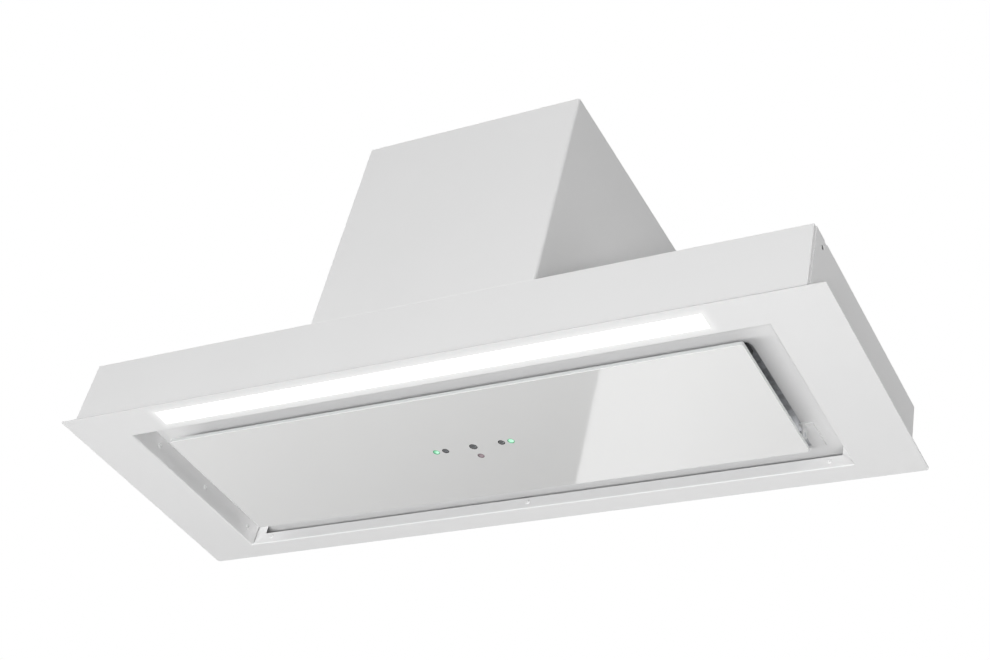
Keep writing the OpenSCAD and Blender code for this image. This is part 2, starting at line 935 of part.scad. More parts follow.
// Outline of one forward-curved blade: a thin arc, hollow towards the turning direction
module blade_outline() {
    mid = wheel_r - blade_depth / 2;
    outer = [
        for (i = [-blade_steps : blade_steps])
            let (a = blade_half_angle * i / blade_steps - 90, r = blade_bow_r + blade_t / 2)
                [mid + r * cos(a), blade_bow_r + r * sin(a)]
    ];
    inner = [
        for (i = [blade_steps : -1 : -blade_steps])
            let (a = blade_half_angle * i / blade_steps - 90, r = blade_bow_r - blade_t / 2)
                [mid + r * cos(a), blade_bow_r + r * sin(a)]
    ];
    polygon(concat(outer, inner));
}

// Blower wheel: two cages of blades on one disc, each closed by a ring
module blower_wheel() {
    ring_in = wheel_r - ring_w;
    color(moulding)
        difference() {
            union() {
                for (i = [0 : blade_count - 1])
                    translate([-wheel_w / 2, axis_y, axis_z])
                        rotate([90, 0, 90])
                            rotate(360 * i / blade_count)
                                linear_extrude(wheel_w)
                                    blade_outline();
                rod_x([-disc_t / 2, disc_t / 2], axis_y, axis_z, wheel_r);
                axis_tube([-wheel_w / 2, -wheel_w / 2 + ring_w], [ring_in, wheel_r + blade_t]);
                axis_tube([wheel_w / 2 - ring_w, wheel_w / 2], [ring_in, wheel_r + blade_t]);
                rod_x(-[hub_x[1], hub_x[0]], axis_y, axis_z, hub_r);
            }
            rod_x([-wheel_w, wheel_w], axis_y, axis_z, shaft_r);
        }
}

// Nut that holds the wheel on the shaft
module wheel_nut() {
    color(zinc)
        difference() {
            translate([-hub_x[1] - nut_l, axis_y, axis_z])
                rotate([0, 90, 0])
                    cylinder(h = nut_l, r = nut_r, $fn = 6);
            rod_x([-hub_x[1] - nut_l - overrun, -hub_x[1] + overrun], axis_y, axis_z, shaft_r);
        }
}

// Rotor core on the shaft
module motor_rotor() {
    color(zinc) {
        rod_x([-hub_x[1] - nut_l, motor_end - cap_t - seat_gap], axis_y, axis_z, shaft_r);
        rod_x(stator_x, axis_y, axis_z, stator_bore_r - air_gap);
    }
}

module motor_stator() {
    color([0.5, 0.5, 0.52])
        axis_tube(stator_x, [stator_bore_r, stator_r]);
}

module motor_windings() {
    color([0.7, 0.4, 0.2])
        for (x = [stator_x[0] - winding_l, stator_x[1]])
            axis_tube([x, x + winding_l], [stator_bore_r + air_gap, stator_r - air_gap]);
}

// The motor's two end caps, each with a boss for its bearing
module motor_caps() {
    color([0.62, 0.63, 0.65]) {
        motor_cap(motor_start, 1);
        motor_cap(motor_end, -1);
    }
}

module motor_cap(x, way) {
    plate = way > 0 ? [x, x + cap_t] : [x - cap_t, x];
    skirt = way > 0 ? [x, stator_x[0] + cap_lap] : [stator_x[1] - cap_lap, x];
    boss = way > 0 ? [x, x + cap_t + bearing_l] : [x - cap_t - bearing_l, x];
    seat = way > 0 ? [x + cap_t, x + cap_t + bearing_l + overrun] : [x - cap_t - bearing_l - overrun, x - cap_t];
    difference() {
        union() {
            axis_tube(plate, [shaft_r + air_gap, cap_r]);
            axis_tube(skirt, [stator_r, cap_r]);
            rod_x(boss, axis_y, axis_z, bearing_r + bearing_boss);
        }
        rod_x(seat, axis_y, axis_z, bearing_r);
        rod_x([x - 2 * bearing_l, x + 2 * bearing_l], axis_y, axis_z, shaft_r + air_gap);
    }
}

module motor_bearings() {
    color([0.7, 0.55, 0.3]) {
        axis_tube([motor_start + cap_t, motor_start + cap_t + bearing_l], [shaft_r + pin_gap, bearing_r]);
        axis_tube([motor_end - cap_t - bearing_l, motor_end - cap_t], [shaft_r + pin_gap, bearing_r]);
    }
}

// Three arms from the motor's end to the scroll's side
module motor_bracket() {
    x = [motor_end, motor_end + bracket_t];
    reach = boss_pitch_r + bush_r;
    color(zinc)
        difference() {
            union() {
                rod_x(x, axis_y, axis_z, bracket_hub_r);
                for (angle = arm_angles)
                    translate([x[0], axis_y, axis_z])
                        rotate([angle, 0, 0])
                            translate([0, 0, -bracket_arm_w / 2])
                                cube([bracket_t, reach, bracket_arm_w]);
            }
            rod_x([x[0] - overrun, x[1] + overrun], axis_y, axis_z, bearing_r);
        }
}

module motor_bushes() {
    color(dark)
        for (angle = arm_angles)
            rod_x([scroll_out_x + boss_h, motor_end], axis_y + boss_pitch_r * cos(angle),
                axis_z + boss_pitch_r * sin(angle), bush_r);
}

// Capacitor, hung from the body's top by its stud
module capacitor() {
    color([0.78, 0.79, 0.8]) {
        rod_z(-side_mid, cap_place_y, [deck_z[0] - cap_can_h, deck_z[0]], cap_can_r);
        rod_z(-side_mid, cap_place_y, [deck_z[0], deck_z[1] + cap_stud_h], cap_stud_r);
        for (x = [-1, 1])
            block([-side_mid + (x - 0.5) * cap_stud_r, -side_mid + (x - 0.5) * cap_stud_r + sheet_t],
                [cap_place_y - cap_stud_r, cap_place_y + cap_stud_r],
                [deck_z[0] - cap_can_h - cap_stud_h, deck_z[0] - cap_can_h]);
    }
}

// Control box on the right plenum wall, open to the right
module control_box() {
    color(dark)
        difference() {
            block([box_x[0], box_x[1] - box_wall], box_y, box_z);
            block([box_x[0] + box_wall, box_x[1] + overrun], [box_y[0] + box_wall, box_y[1] - box_wall],
                [box_z[0] + box_wall, box_z[1] - box_wall]);
            rod_x([box_x[0] - overrun, box_x[0] + box_wall + overrun], axis_y + loom_back, loom_z, loom_r);
        }
}

module control_lid() {
    color(dark)
        block([box_x[1] - box_wall, box_x[1]], box_y, box_z);
}

// Control board on four posts, with relays and a transformer
module control_board() {
    x = box_x[0] + box_wall + board_stand;
    y = [box_y[0] + box_wall + board_margin, box_y[1] - box_wall - board_margin];
    z = [box_z[0] + box_wall + board_margin, loom_z - loom_r];
    part = (y[1] - y[0]) / 6;
    color([0.1, 0.4, 0.2]) {
        block([x, x + board_t], y, z);
        for (py = y, pz = z)
            block([box_x[0] + box_wall, x], py == y[0] ? [py, py + board_margin] : [py - board_margin, py],
                pz == z[0] ? [pz, pz + board_margin] : [pz - board_margin, pz]);
        for (i = [0 : 3])
            block([x + board_t, x + board_t + board_stand], [y[0] + (i + 0.25) * part, y[0] + (i + 0.85) * part],
                [z[0] + board_margin, z[0] + board_margin + part / 2]);
        block([x + board_t, x + 2 * board_stand], [y[1] - 1.5 * part, y[1] - 0.4 * part],
            [z[0] + board_margin, z[1] - board_margin]);
    }
}

// Driver for the light on the left plenum wall
module led_driver() {
    x = [wall_x + tray_t, wall_x + tray_t + driver_w];
    color([0.85, 0.85, 0.83])
        mirror([1, 0, 0]) {
            rounded_block(x, driver_y, driver_z, [bend_r, bend_r]);
            block([x[0], x[0] + bend_r], [driver_y[0] - driver_w / 4, driver_y[1] + driver_w / 4], driver_z);
        }
}

// Gland for the supply cord in the body's top
module cable_gland() {
    color(dark)
        difference() {
            union() {
                rod_z(side_mid, gland_y, [deck_z[0] - gland_down, deck_z[1] + gland_up], gland_r - pin_gap);
                rod_z(side_mid, gland_y, [deck_z[1], deck_z[1] + gland_nut_h], gland_nut_r, $fn = 6);
                rod_z(side_mid, gland_y, [deck_z[0] - gland_nut_h, deck_z[0]], gland_nut_r, $fn = 6);
                rod_z(side_mid, gland_y, [deck_z[1] + gland_nut_h, deck_z[1] + gland_up - gland_nut_h / 2],
                    gland_r + gland_bore_r / 2);
            }
            rod_z(side_mid, gland_y, [deck_z[0] - gland_down - overrun, deck_z[1] + gland_up + overrun],
                gland_bore_r);
        }
}

// Cable from the control box under the body's top and up to the motor
module wiring_loom() {
    turn_x = tower_in_x - loom_out;
    y = axis_y + loom_back;
    high = axis_z + loom_rise;
    r = loom_r - pin_gap;
    color(dark) {
        rod_x([turn_x, box_x[0] + box_wall + board_stand - seat_gap], y, loom_z, r);
        rod_z(turn_x, y, [loom_z, high], r);
        rod_x([motor_end, turn_x], y, high, r);
        for (z = [loom_z, high])
            translate([turn_x, y, z])
                sphere(r = r);
    }
}

// Opal cover of the light, flush with the face panel and wider above it
module led_diffuser() {
    lap_y = [channel_y[0] + channel_wall + diffuser_gap, channel_y[1] - channel_wall - diffuser_gap];
    lap_x = channel_x - channel_wall - diffuser_gap;
    color([1, 1, 0.96]) {
        block([-light_w / 2 + diffuser_gap, light_w / 2 - diffuser_gap],
            [light_y - light_d / 2 + diffuser_gap, light_y + light_d / 2 - diffuser_gap], [0, face_t]);
        block([-lap_x, lap_x], lap_y, [face_t, face_t + diffuser_t]);
    }
}

// Metal channel over the light, closed at its ends
module led_channel() {
    color(zinc)
        difference() {
            block([-channel_x, channel_x], channel_y, [face_t, channel_top]);
            block([-channel_x + channel_wall, channel_x - channel_wall],
                [channel_y[0] + channel_wall, channel_y[1] - channel_wall],
                [face_t - overrun, channel_top - channel_wall]);
        }
}

// Board in the channel's roof with a row of light sources
module led_board() {
    top = channel_top - channel_wall;
    low = top - led_board_t;
    color([0.95, 0.95, 0.9]) {
        block([-light_w / 2, light_w / 2], [light_y - led_board_w / 2, light_y + led_board_w / 2], [low, top]);
        for (i = [0 : led_count - 1]) {
            x = (i - (led_count - 1) / 2) * led_pitch;
            block([x - led_w / 2, x + led_w / 2], [light_y - led_w / 2, light_y + led_w / 2], [low - led_h, low]);
        }
    }
}

// Filter frame, on the right: a rim round the mesh, two rear tabs and the latch's pocket
module filter_frame() {
    pocket_y = [filter_y[0] + latch_wall, filter_y[0] + rim_front_w - latch_wall];
    pocket_z = [latch_z[0] - seat_gap, latch_z[1] + seat_gap];
    half_w = latch_w / 2 + seat_gap;
    color([0.75, 0.76, 0.77])
        difference() {
            union() {
                block(filter_x, filter_y, filter_z);
                for (share = [tab_share, 1 - tab_share]) {
                    x = filter_x[0] + share * (filter_x[1] - filter_x[0]);
                    block([x - tab_w / 2, x + tab_w / 2], [filter_y[1], filter_y[1] + tab_reach],
                        [ledge_z[1], ledge_z[1] + tab_t]);
                }
            }
            block(core_x, core_y, [filter_z[0] - overrun, filter_z[1] + overrun]);
            block([filter_mid - half_w, filter_mid + half_w], pocket_y, pocket_z);
            block([filter_mid - tongue_w / 2 - seat_gap, filter_mid + tongue_w / 2 + seat_gap],
                [filter_y[0] - overrun, pocket_y[0] + overrun], pocket_z);
            block([filter_mid - grip_w / 2 - seat_gap, filter_mid + grip_w / 2 + seat_gap], pocket_y,
                [filter_z[0] - overrun, pocket_z[1]]);
        }
}

module filter_frame_right() {
    filter_frame();
}

module filter_frame_left() {
    mirror([1, 0, 0])
        filter_frame();
}

// Filter mesh, on the right: a pack with rows of diamond openings
module filter_mesh() {
    w = core_x[1] - core_x[0];
    d = core_y[1] - core_y[0];
    row_pitch = mesh_pitch * mesh_rows_share * 2;
    columns = floor(w / mesh_pitch) - 1;
    rows = floor(d / row_pitch) - 1;
    color([0.66, 0.67, 0.68])
        translate([(core_x[0] + core_x[1]) / 2, (core_y[0] + core_y[1]) / 2, filter_z[0] + mesh_skin])
            linear_extrude(filter_t - 2 * mesh_skin)
                difference() {
                    square([w, d], center = true);
                    for (i = [0 : columns - 1], j = [0 : rows - 1])
                        translate([(i - (columns - 1) / 2) * mesh_pitch, (j - (rows - 1) / 2) * row_pitch])
                            diamond(mesh_hole_share * mesh_pitch, mesh_hole_share * row_pitch);
                }
}

module diamond(x, y) {
    polygon([[x, 0], [0, y], [-x, 0], [0, -y]]);
}

module filter_mesh_right() {
    filter_mesh();
}

module filter_mesh_left() {
    mirror([1, 0, 0])
        filter_mesh();
}

// Filter latch, on the right
module filter_latch() {
    color(dark) {
        block([filter_mid - latch_w / 2, filter_mid + latch_w / 2], latch_y, latch_z);
        block([filter_mid - tongue_w / 2, filter_mid + tongue_w / 2], [latch_y[0] - latch_wall - tongue_reach, latch_y[0]],
            latch_z);
        block([filter_mid - grip_w / 2, filter_mid + grip_w / 2], [latch_y[0], latch_y[0] + grip_d],
            [filter_z[0] - grip_drop, latch_z[0]]);
    }
}

module filter_latch_right() {
    filter_latch();
}

module filter_latch_left() {
    mirror([1, 0, 0])
        filter_latch();
}

// Fixed half of each panel hinge: a foot under the tray and an eye below it
module hinge_brackets() {
    color(zinc)
        both_sides()
            difference() {
                union() {
                    block([web_x - web_t / 2 - foot_w / 4, web_x - web_t / 2 - foot_w / 4 + foot_w],
                        [hinge_y - eye_r, hinge_y - eye_r + foot_d], [tray_z[0] - foot_t, tray_z[0]]);
                    block([web_x - web_t / 2, web_x + web_t / 2], [hinge_y - eye_r, hinge_y + eye_r],
                        [hinge_z, tray_z[0]]);
                    rod_x([web_x - web_t / 2, web_x + web_t / 2], hinge_y, hinge_z, eye_r);
                }
                rod_x([web_x - web_t, web_x + web_t], hinge_y, hinge_z, hinge_pin_r + pin_gap);
            }
}

// Moving half of each panel hinge, on the panel's frame
module hinge_arms() {
    color(zinc)
        both_sides()
            difference() {
                union() {
                    along_x(arm_x)
                        polygon([[hinge_y - arm_run, frame_top], [arm_end_y, frame_top],
                            [arm_end_y, glass_t + frame_rim_h + arm_gap], [hinge_y + eye_r, hinge_z],
                            [hinge_y - eye_r, hinge_z]]);
                    rod_x(arm_x, hinge_y, hinge_z, eye_r);
                    block([arm_x[0] - foot_w, arm_x[1]], [hinge_y - arm_run, arm_end_y],
                        [frame_top, frame_top + foot_t]);
                }
                rod_x([arm_x[0] - overrun, arm_x[1] + overrun], hinge_y, hinge_z, hinge_pin_r);
            }
}

module hinge_pins() {
    color(zinc)
        both_sides() {
            rod_x([arm_x[0], web_x + web_t / 2], hinge_y, hinge_z, hinge_pin_r);
            rod_x([arm_x[0] - web_t / 2, arm_x[0]], hinge_y, hinge_z, hinge_pin_r + web_t / 2);
        }
}

// Catch bodies under the ledge frame, each with a pocket for its magnet
module catch_bodies() {
    color(dark)
        both_sides()
            difference() {
                block(catch_x, catch_y, [catch_low, ledge_z[0]]);
                magnet([-overrun, magnet_h]);
            }
}

module magnet(z) {
    block([catch_mid[0] - magnet_w / 2, catch_mid[0] + magnet_w / 2],
        [catch_mid[1] - magnet_d / 2, catch_mid[1] + magnet_d / 2], [catch_low + z[0], catch_low + z[1]]);
}

module catch_magnets() {
    color(zinc)
        both_sides()
            magnet([0, magnet_h]);
}

// Steel pads on the panel's frame that the magnets hold
module strikers() {
    color(zinc)
        both_sides()
            block([catch_mid[0] - striker_w / 2, catch_mid[0] + striker_w / 2],
                [catch_mid[1] - striker_d / 2, catch_mid[1] + striker_d / 2], [frame_top, catch_low - seat_gap]);
}

// Places of the windows in the glass, as [x, y, radius]
function dark_windows() = [
    [-sensor_x, glass_mid + sensor_y, window_r],
    [0, glass_mid + sensor_y, window_big_r],
    [sensor_x, glass_mid + sensor_y, window_r]
];
function lit_windows() = [for (side = [-1, 1]) [side * status_x, glass_mid + sensor_y, window_r]];
function remote_windows() = [[0, glass_mid + sensor_y + remote_dy, window_r]];

module windows(spots, z, gap) {
    for (spot = spots)
        rod_z(spot[0], spot[1], z, spot[2] + gap);
}

module window_holes(z) {
    windows(concat(dark_windows(), lit_windows(), remote_windows()), z, window_gap);
}

// White glass panel with holes for the sensor windows
module glass_panel() {
    color([0.95, 0.95, 0.95])
        difference() {
            rounded_block([-glass_x, glass_x], glass_y, [0, glass_t], [glass_r, glass_r]);
            window_holes([-overrun, glass_t + overrun]);
        }
}

// Pressed steel frame behind the glass: a plate with a rim and two stiffening beads
module panel_frame() {
    bead_y = [frame_y[0] + (1 - bead_share) / 2 * (frame_y[1] - frame_y[0]),
        frame_y[1] - (1 - bead_share) / 2 * (frame_y[1] - frame_y[0])];
    color(zinc)
        difference() {
            union() {
                difference() {
                    block([-frame_x, frame_x], frame_y, [glass_t, glass_t + frame_rim_h]);
                    block([-frame_x + frame_t, frame_x - frame_t], [frame_y[0] + frame_t, frame_y[1] - frame_t],
                        [frame_top, glass_t + frame_rim_h + overrun]);
                }
                for (y = bead_y)
                    both_sides()
                        block([housing_x + bead_w, frame_x - 4 * bead_w], [y - bead_w / 2, y + bead_w / 2],
                            [frame_top, frame_top + bead_h]);
            }
            window_holes([glass_t - overrun, frame_top + overrun]);
        }
}

// Sensor housing on the panel's frame, open towards the glass
module sensor_housing() {
    y = [glass_mid + housing_y[0], glass_mid + housing_y[1]];
    z = [frame_top, frame_top + housing_h];
    color(dark)
        difference() {
            block([-housing_x, housing_x], y, z);
            block([-housing_x + housing_wall, housing_x - housing_wall], [y[0] + housing_wall, y[1] - housing_wall],
                [z[0] - overrun, z[1] - housing_wall]);
        }
}

// Sensor board, wide enough to sit in the housing, with two chips
module sensor_board() {
    y = [glass_mid + housing_y[0] + housing_wall, glass_mid + housing_y[1] - housing_wall];
    x = housing_x - housing_wall;
    z = [frame_top + sensor_board_up, frame_top + sensor_board_up + sensor_board_t];
    color([0.1, 0.4, 0.2]) {
        block([-x, x], y, z);
        for (cx = [-2, 1])
            block([cx * chip_w, (cx + 1) * chip_w], [y[1] - 1.5 * chip_w, y[1] - chip_w / 2], [z[1], z[1] + chip_h]);
    }
}

// Dark sensor windows and the two lit ones, from the board down to the glass's face
module sensor_windows() {
    color(dark)
        windows(dark_windows(), [0, frame_top + sensor_board_up], 0);
    color([0.3, 0.9, 0.3])
        windows(lit_windows(), [0, frame_top + sensor_board_up], 0);
}

module remote_window() {
    color([0.45, 0.2, 0.15])
        windows(remote_windows(), [0, frame_top + sensor_board_up], 0);
}

face_panel();
suction_tray();
ledge_frame();
recess_stiffener();
panel_rivets();
body_front_sheet();
body_left_sheet();
body_right_sheet();
body_rear_sheet();
body_top_sheet();
plenum_wall_left();
plenum_wall_right();
tower_casing();
tower_rear_cover();
tower_top_plate();
casing_screws();
outlet_collar();
flap_pin();
flap_front();
flap_rear();
outlet_adapter();
scroll_left();
scroll_right();
blower_wheel();
wheel_nut();
motor_rotor();
motor_stator();
motor_windings();
motor_caps();
motor_bearings();
motor_bracket();
motor_bushes();
capacitor();
control_box();
control_lid();
control_board();
led_driver();
cable_gland();
wiring_loom();
led_diffuser();
led_channel();
led_board();
filter_frame_left();
filter_frame_right();
filter_mesh_left();
filter_mesh_right();
filter_latch_left();
filter_latch_right();
hinge_brackets();
catch_bodies();
catch_magnets();
glass_panel();
panel_frame();
hinge_arms();
hinge_pins();
strikers();
sensor_housing();
sensor_board();
sensor_windows();
remote_window();
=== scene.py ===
"""Built-in range hood: the dressed model, laid out as a Blender add-on and run as a script."""
import json
from collections import namedtuple
from math import cos, pi, radians, sin, tau

import bmesh
import bpy
from bpy.props import FloatProperty, FloatVectorProperty, PointerProperty
from mathutils import Matrix, Vector

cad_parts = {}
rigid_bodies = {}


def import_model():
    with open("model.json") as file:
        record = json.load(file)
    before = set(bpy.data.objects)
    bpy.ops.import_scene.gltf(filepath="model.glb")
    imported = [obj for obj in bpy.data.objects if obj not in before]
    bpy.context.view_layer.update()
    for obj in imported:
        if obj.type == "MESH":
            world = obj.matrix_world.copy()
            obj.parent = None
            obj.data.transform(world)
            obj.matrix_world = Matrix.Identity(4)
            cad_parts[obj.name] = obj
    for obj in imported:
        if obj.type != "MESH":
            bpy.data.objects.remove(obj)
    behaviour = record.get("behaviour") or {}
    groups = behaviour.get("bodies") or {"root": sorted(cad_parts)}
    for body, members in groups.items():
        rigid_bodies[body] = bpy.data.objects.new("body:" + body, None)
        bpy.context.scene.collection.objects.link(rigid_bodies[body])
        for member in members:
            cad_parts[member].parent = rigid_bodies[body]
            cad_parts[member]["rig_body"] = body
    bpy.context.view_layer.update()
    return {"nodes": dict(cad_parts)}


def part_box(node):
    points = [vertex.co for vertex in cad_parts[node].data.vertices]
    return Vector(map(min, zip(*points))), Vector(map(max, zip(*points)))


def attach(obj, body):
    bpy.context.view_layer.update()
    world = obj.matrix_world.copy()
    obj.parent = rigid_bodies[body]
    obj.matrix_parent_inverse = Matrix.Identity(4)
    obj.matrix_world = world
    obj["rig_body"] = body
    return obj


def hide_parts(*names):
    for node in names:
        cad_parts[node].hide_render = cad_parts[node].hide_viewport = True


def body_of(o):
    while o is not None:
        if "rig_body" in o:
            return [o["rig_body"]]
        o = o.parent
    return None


bl_info = {
    "name": "Built-in range hood",
    "version": (1, 0, 0),
    "blender": (4, 5, 0),
    "location": "3D View > Sidebar > Hood",
    "description": "Dresses the hood's packed frame with finished pieces, materials and a studio",
    "category": "Object",
}

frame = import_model()
NODES = frame["nodes"]
FINISH_OF = {name: node.material_slots[0].material.name for name, node in NODES.items()}
Rod = namedtuple("Rod", "foot radius height")

# Metres: how near counts as equal, and how near vertices are merged; then the decimals that
# tell the steps along a fastener apart, and the least area that gives a corner its normal
SAME = 1e-5
MERGE = 2e-6
STEP_DIGITS = 6
NO_AREA = 1e-15

# Degrees between faces: one flat area below the first, rounded above the second, and normals
# shared below the third
FLAT_TURN = 0.4
CORNER_TURN = 35.0
SMOOTH_TURN = 50.0

# Faces across a rounding, and steps round a turned piece
EDGE_FACES = 2
WIDE_EDGE_FACES = 3
FOLD_FACES = 4
LENS_STEPS = 40
RIVET_STEPS = 28
SCREW_STEPS = 24
BEAD_STEPS = 96

# Shares of the face panel's half sizes between which the recess's mouth lies, clear of the
# slot for the light, and the least share of its width that a fold is long
MOUTH_SIDE = 0.86
MOUTH_REAR = 0.9
MOUTH_FRONT = 0.76
FOLD_LENGTH = 0.1

# Vertices further from a bend's centre than this share of its radius lie on its outside
BEND_OUTSIDE = 0.9

# A window's seen end: how high its middle lies, and shares of its radius and of its lens edge
LENS_MIDDLE = 0.00002
LENS_PROFILE = ((0.6, 0.1), (0.9, 0.4), (0.98, 1.0), (1.0, 1.8))

# Metres: the glass's shorter edges are facets of its round corners and holes, and stay sharp
GLASS_SHORTEST = 0.003

# A fastener's head: its pit's share of the radius, and shares of its radius and height
PIT_RADIUS = 0.26
HEAD_PROFILE = ((0.32, 0.98), (0.55, 0.93), (0.78, 0.7), (0.94, 0.34), (1.0, 0.0))

# The collar's bead: its share of the collar's height, then its foot's depth and half height and
# its swelling in shares of its rise, and the turns of its outline
BEAD_UP = 0.78
BEAD_SINK = 0.3
BEAD_FOOT = 1.6
BEAD_SWELL = 1.5
BEAD_TURNS = (-pi / 2.4, -pi / 4, -pi / 8, 0.0, pi / 8, pi / 4, pi / 2.4)

PLAIN_SHEETS = ("body_left_sheet", "body_right_sheet", "body_rear_sheet", "body_top_sheet",
                "tower_casing", "tower_rear_cover", "tower_top_plate", "suction_tray",
                "ledge_frame", "recess_stiffener")

ORIGIN = (0.0, 0.0, 0.0)
UNIT = (1.0, 1.0, 1.0)
BLACK = (0.0, 0.0, 0.0)
OPAQUE_WHITE = (1.0, 1.0, 1.0, 1.0)

# A Mix node's sockets for its two colours, and for the blended one
MIX_COLOURS = (6, 7)
MIX_RESULT = 2

# Darkest and palest tone of what hides inside
STACK_TONES = (0.20, 0.20, 0.215), (0.42, 0.42, 0.44)
WIRE_TONES = (0.30, 0.10, 0.045), (0.78, 0.36, 0.18)
RUBBER_TONES = (0.014, 0.014, 0.015), (0.05, 0.05, 0.052)
MASK_TONES = (0.010, 0.10, 0.045), (0.03, 0.22, 0.10)
PAD_TONE = (0.66, 0.65, 0.62)
LIGHT_BOARD_TONES = (0.74, 0.74, 0.72), (0.82, 0.82, 0.80)
DIODE_TONE = (0.85, 0.62, 0.10)

# Pale hot spot of a lit window's light, painted into its colour beside its middle
PAINTED_HOT_SPOT = (0.50, 0.95, 0.68)

# Laminations, turns of wire and light diodes to a metre, half a diode's share of their pitch
# and half its width in metres, and the reach of a board's pads in its cells
LAMINATIONS = 2000.0
WIRE_TURNS = 1400.0
DIODES = 60.0
DIODE_SHARE = 0.1
DIODE_HALF = 0.0016
PAD_REACH = 0.22

# The light strip's glow, painted on the face panel as the paint's own emission: its reach in metres
# and its strength. Then the share of the strip's half length over which the strip itself grows
# weaker
GLOW_REACH = 0.011
GLOW_STRENGTH = 0.13
STRIP_FADE = 0.04

# The camera: millimetres, the picture's width and the shift in pixels, then its place and axes
FOCAL_LENGTH = 60.67
SENSOR_WIDTH = 36.0
PHOTO_WIDTH = 990
CAMERA_SHIFT = (-127.66, 7.84)
CAMERA_SPOT = (0.8697, -1.1165, -0.9169)
CAMERA_RIGHT = Vector((0.88960801, 0.429303, 0.15587344))
CAMERA_DOWN = Vector((-0.15855091, 0.61034417, -0.77610669))
CAMERA_AHEAD = Vector((-0.42832138, 0.66571685, 0.61103345))

# Softboxes: name, brightness setting, spot, aim, width and height in metres, spread in degrees
SOFTBOXES = (
    ("front_strip", "front", (-0.65, -2.19, -2.05), (-0.65, 0.0, 0.05), 2.6, 0.38, 180.0),
    ("front_right_strip", "front_right", (1.3, -2.19, -2.05), (0.6, 0.0, 0.05), 1.3, 0.38, 180.0),
    ("side_softbox", "side", (3.0, -0.3, -0.5), (0.0, 0.0, 0.1), 1.2, 1.2, 180.0),
    ("upper_softbox", "above", (-0.4, -1.7, 3.0), (0.0, 0.0, 0.2), 2.6, 2.6, 180.0),
    ("rear_softbox", "behind", (-1.7, 2.4, 2.5), (0.0, 0.0, 0.15), 2.0, 2.0, 50.0),
)

# The cards that the glass mirrors: their place and half size, the dim one's end, fade and
# level, and the bright one's edge, then where its fall starts, how wide it is and how deep
CARDS_SPOT = (-1.62, 2.0, -1.65)
CARDS_HALF = (1.23, 0.27)
DIM_CARD = (-1.3, 1.6, 0.62)
BRIGHT_CARD = (-1.19, -0.95, 0.5, 0.35)

# The floor: its height and half its width in metres, its glow where it is seen, and its tones
FLOOR_HEIGHT = -2.6
FLOOR_HALF = 7.0
FLOOR_GLOW = 0.6
FLOOR_TONES = (0.86, 0.86, 0.86), (0.88, 0.88, 0.88)


# Sizes, colours and studio values that a user would change

def length(name, text, default):
    """A length property in metres."""
    return FloatProperty(name=name, description=text, default=default, min=0.0, max=0.01,
                         precision=5, unit="LENGTH", subtype="DISTANCE")


def colour(name, text, default):
    """A colour property in scene linear values."""
    return FloatVectorProperty(name=name, description=text, default=default, size=3,
                               min=0.0, max=1.0, subtype="COLOR")


def level(name, text, default, top=10.0):
    """A plain number that sets a strength."""
    return FloatProperty(name=name, description=text, default=default, min=0.0, max=top)


class HoodSizes(bpy.types.PropertyGroup):
    """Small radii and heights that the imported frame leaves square"""
    sheet_edge: length("Sheet edge", "Radius on the cut edges of the sheet metal", 0.00025)
    fold_r: length("Fold radius", "Outer radius of the folds round the recess", 0.0013)
    glass_edge: length("Glass edge", "Width of the polished edge of the glass", 0.0005)
    plastic_edge: length("Moulded edge", "Radius on the edges of moulded pieces", 0.0004)
    strip_edge: length("Light strip edge", "Radius on the edges of the light strip", 0.0008)
    flange_edge: length("Flange edge", "Radius on the outer edges of the face panel", 0.0007)
    lens_dip: length("Lens edge", "How far a window's rim lies behind its middle", 0.0003)
    print_lap: length("Printed ring", "How far the ring printed round a window reaches", 0.0007)
    seam_r: length("Corner seam", "Radius of the filled seams at the recess's rear corners", 0.0004)
    rivet_pit: length("Rivet pit", "Depth of the pit in a rivet's head", 0.0005)
    bead_rise: length("Collar bead", "How far the duct collar's bead stands out", 0.0012)


class HoodColours(bpy.types.PropertyGroup):
    """Colours of the finishes"""
    paint: colour("White paint", "Powder coat on the sheet metal", (0.80, 0.80, 0.80))
    glass: colour("White glass", "Paint behind the glass panel", (0.70, 0.70, 0.695))
    glass_rim: colour("Glass rim", "Cut edge of the glass", (0.82, 0.84, 0.83))
    zinc: colour("Zinc", "Zinc-coated steel", (0.63, 0.64, 0.66))
    aluminium: colour("Aluminium", "Filters, capacitor can and motor caps", (0.77, 0.77, 0.78))
    moulding: colour("Moulding", "Grey mouldings of the blower and outlet", (0.13, 0.135, 0.14))
    plastic: colour("Dark plastic", "Control box, catches and sensor housing",
                    (0.035, 0.036, 0.038))
    dark_window: colour("Dark window", "Windows over the sensors", (0.028, 0.03, 0.032))
    lit_window: colour("Lit window", "Windows over the indicator lights", (0.08, 0.46, 0.22))
    red_window: colour("Red window", "Window over the remote's receiver", (0.36, 0.27, 0.30))
    strip: colour("Light strip", "Opal cover of the light", (1.0, 1.0, 0.98))


class HoodStudio(bpy.types.PropertyGroup):
    """Light round the hood"""
    sky: level("Sky", "Strength of the even light from all round", 0.17)
    front: level("Front strip", "Brightness of the long softbox before the hood", 16.3, 60.0)
    front_right: level("Right end of the strip", "Brightness of the strip's right end", 25.5, 60.0)
    side: level("Side softbox", "Brightness of the softbox right of the hood", 3.8)
    cards: level("Mirrored cards", "Brightness of the cards that the glass mirrors", 2.9)
    above: level("Softbox above", "Brightness of the softbox over the hood", 1.0)
    behind: level("Softbox behind", "Brightness of the softbox over the hood's rear left", 1.2)
    strip_glow: level("Strip glow", "Emission of the light strip", 1.5)


# Shader sums and materials

